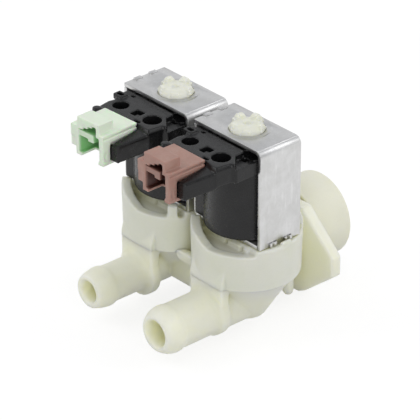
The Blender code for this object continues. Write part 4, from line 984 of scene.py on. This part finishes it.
inner = {
    "bush_": metal("ground_steel", (0.60, 0.60, 0.61), 0.30, (1, 1, 12)),
    "plunger_": metal("plunger_steel", (0.66, 0.66, 0.66), 0.22, (1, 1, 10)),
    "plunger_seat_": plain_plastic("seat_rubber", (0.030, 0.030, 0.030), 0.62),
    "plunger_spring_": metal("spring_steel", (0.64, 0.64, 0.64), 0.24),
    "coil_bobbin_": plain_plastic("bobbin_plastic", (0.13, 0.13, 0.13), 0.42),
    "coil_winding_": wire_wound("wound_copper"),
    "diaphragm_": plain_plastic("diaphragm_rubber", (0.026, 0.026, 0.027), 0.66),
    "diaphragm_hub_": plain_plastic("hub_plastic", (0.12, 0.12, 0.12), 0.40),
    "flow_regulator": plain_plastic("regulator_plastic", (0.72, 0.72, 0.70), 0.42),
    "regulator_ring": plain_plastic("ring_rubber", (0.028, 0.028, 0.028), 0.64),
    "inlet_strainer": plain_plastic("strainer_plastic", (0.42, 0.43, 0.43), 0.40, 0.5, 0.08),
    # Painted shade: the tin blades get a dark grey, as they sit in the socket's shade.
    "terminal_": metal("terminal_tin", (0.22, 0.21, 0.20), 0.48, (1, 10, 1)),
}
dressed = 0
for name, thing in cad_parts.items():
    if thing.hide_render:
        continue
    start = max((key for key in inner if name.startswith(key)), key=len)
    for place in thing.material_slots:
        place.material = inner[start]
    dressed += 1
print("inner pieces with a finish:", dressed)

# %% [markdown]
# Return springs
#
# A real return spring is bright wire wound on a helix, and its last turns lie flat so that it
# stands straight. It sits between the plunger and the roof of the tube. When the plunger rises
# the spring gets shorter; here it is drawn at rest, and the plunger's lift is given but not
# used. A ring of points carried along the helix makes the wire.

# %% Return springs
LIFT, SPRING_FOOT, SPRING_HEAD = 2.5, 21.2, 31.3


def wound(radius, wire, turns, flat, steps=48, around=12):
    """A wire wound on a helix from the spring's foot to its head, with flat turns at both ends."""
    close = 2.04 * wire
    rise = (SPRING_HEAD - SPRING_FOOT - 2 * wire - 2 * flat * close) / turns
    total = turns + 2 * flat
    count = round(steps * total)
    bends = [math.tau * k / around for k in range(around)]
    rings = []
    for i in range(count + 1):
        turn = total * i / count
        loose = min(max(turn - flat, 0), turns)
        height = SPRING_FOOT + wire + rise * loose + close * (turn - loose)
        c, s = math.cos(math.tau * turn), math.sin(math.tau * turn)
        rings.append([((radius + wire * math.cos(bend)) * c, (radius + wire * math.cos(bend)) * s,
                       height + wire * math.sin(bend)) for bend in bends])
    return lofted(rings)


for tag, x in SIDES.items():
    spring = placed("return_spring_" + tag, baked(as_object(wound(2.9, 0.35, 3.6, 0.7))),
                    inner["plunger_spring_"], ["plunger_spring_" + tag], x)
    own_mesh(spring)

# %% [markdown]
# Sizes
#
# The size of the dressed valve is printed beside that of its solids, to see that no surface
# strays from them.

# %% Sizes
dressed_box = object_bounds()
for label, corners in (("solid", solid_box), ("dressed", dressed_box)):
    print(label, [round(1000 * (b - a), 2) for a, b in zip(*corners)], "mm")
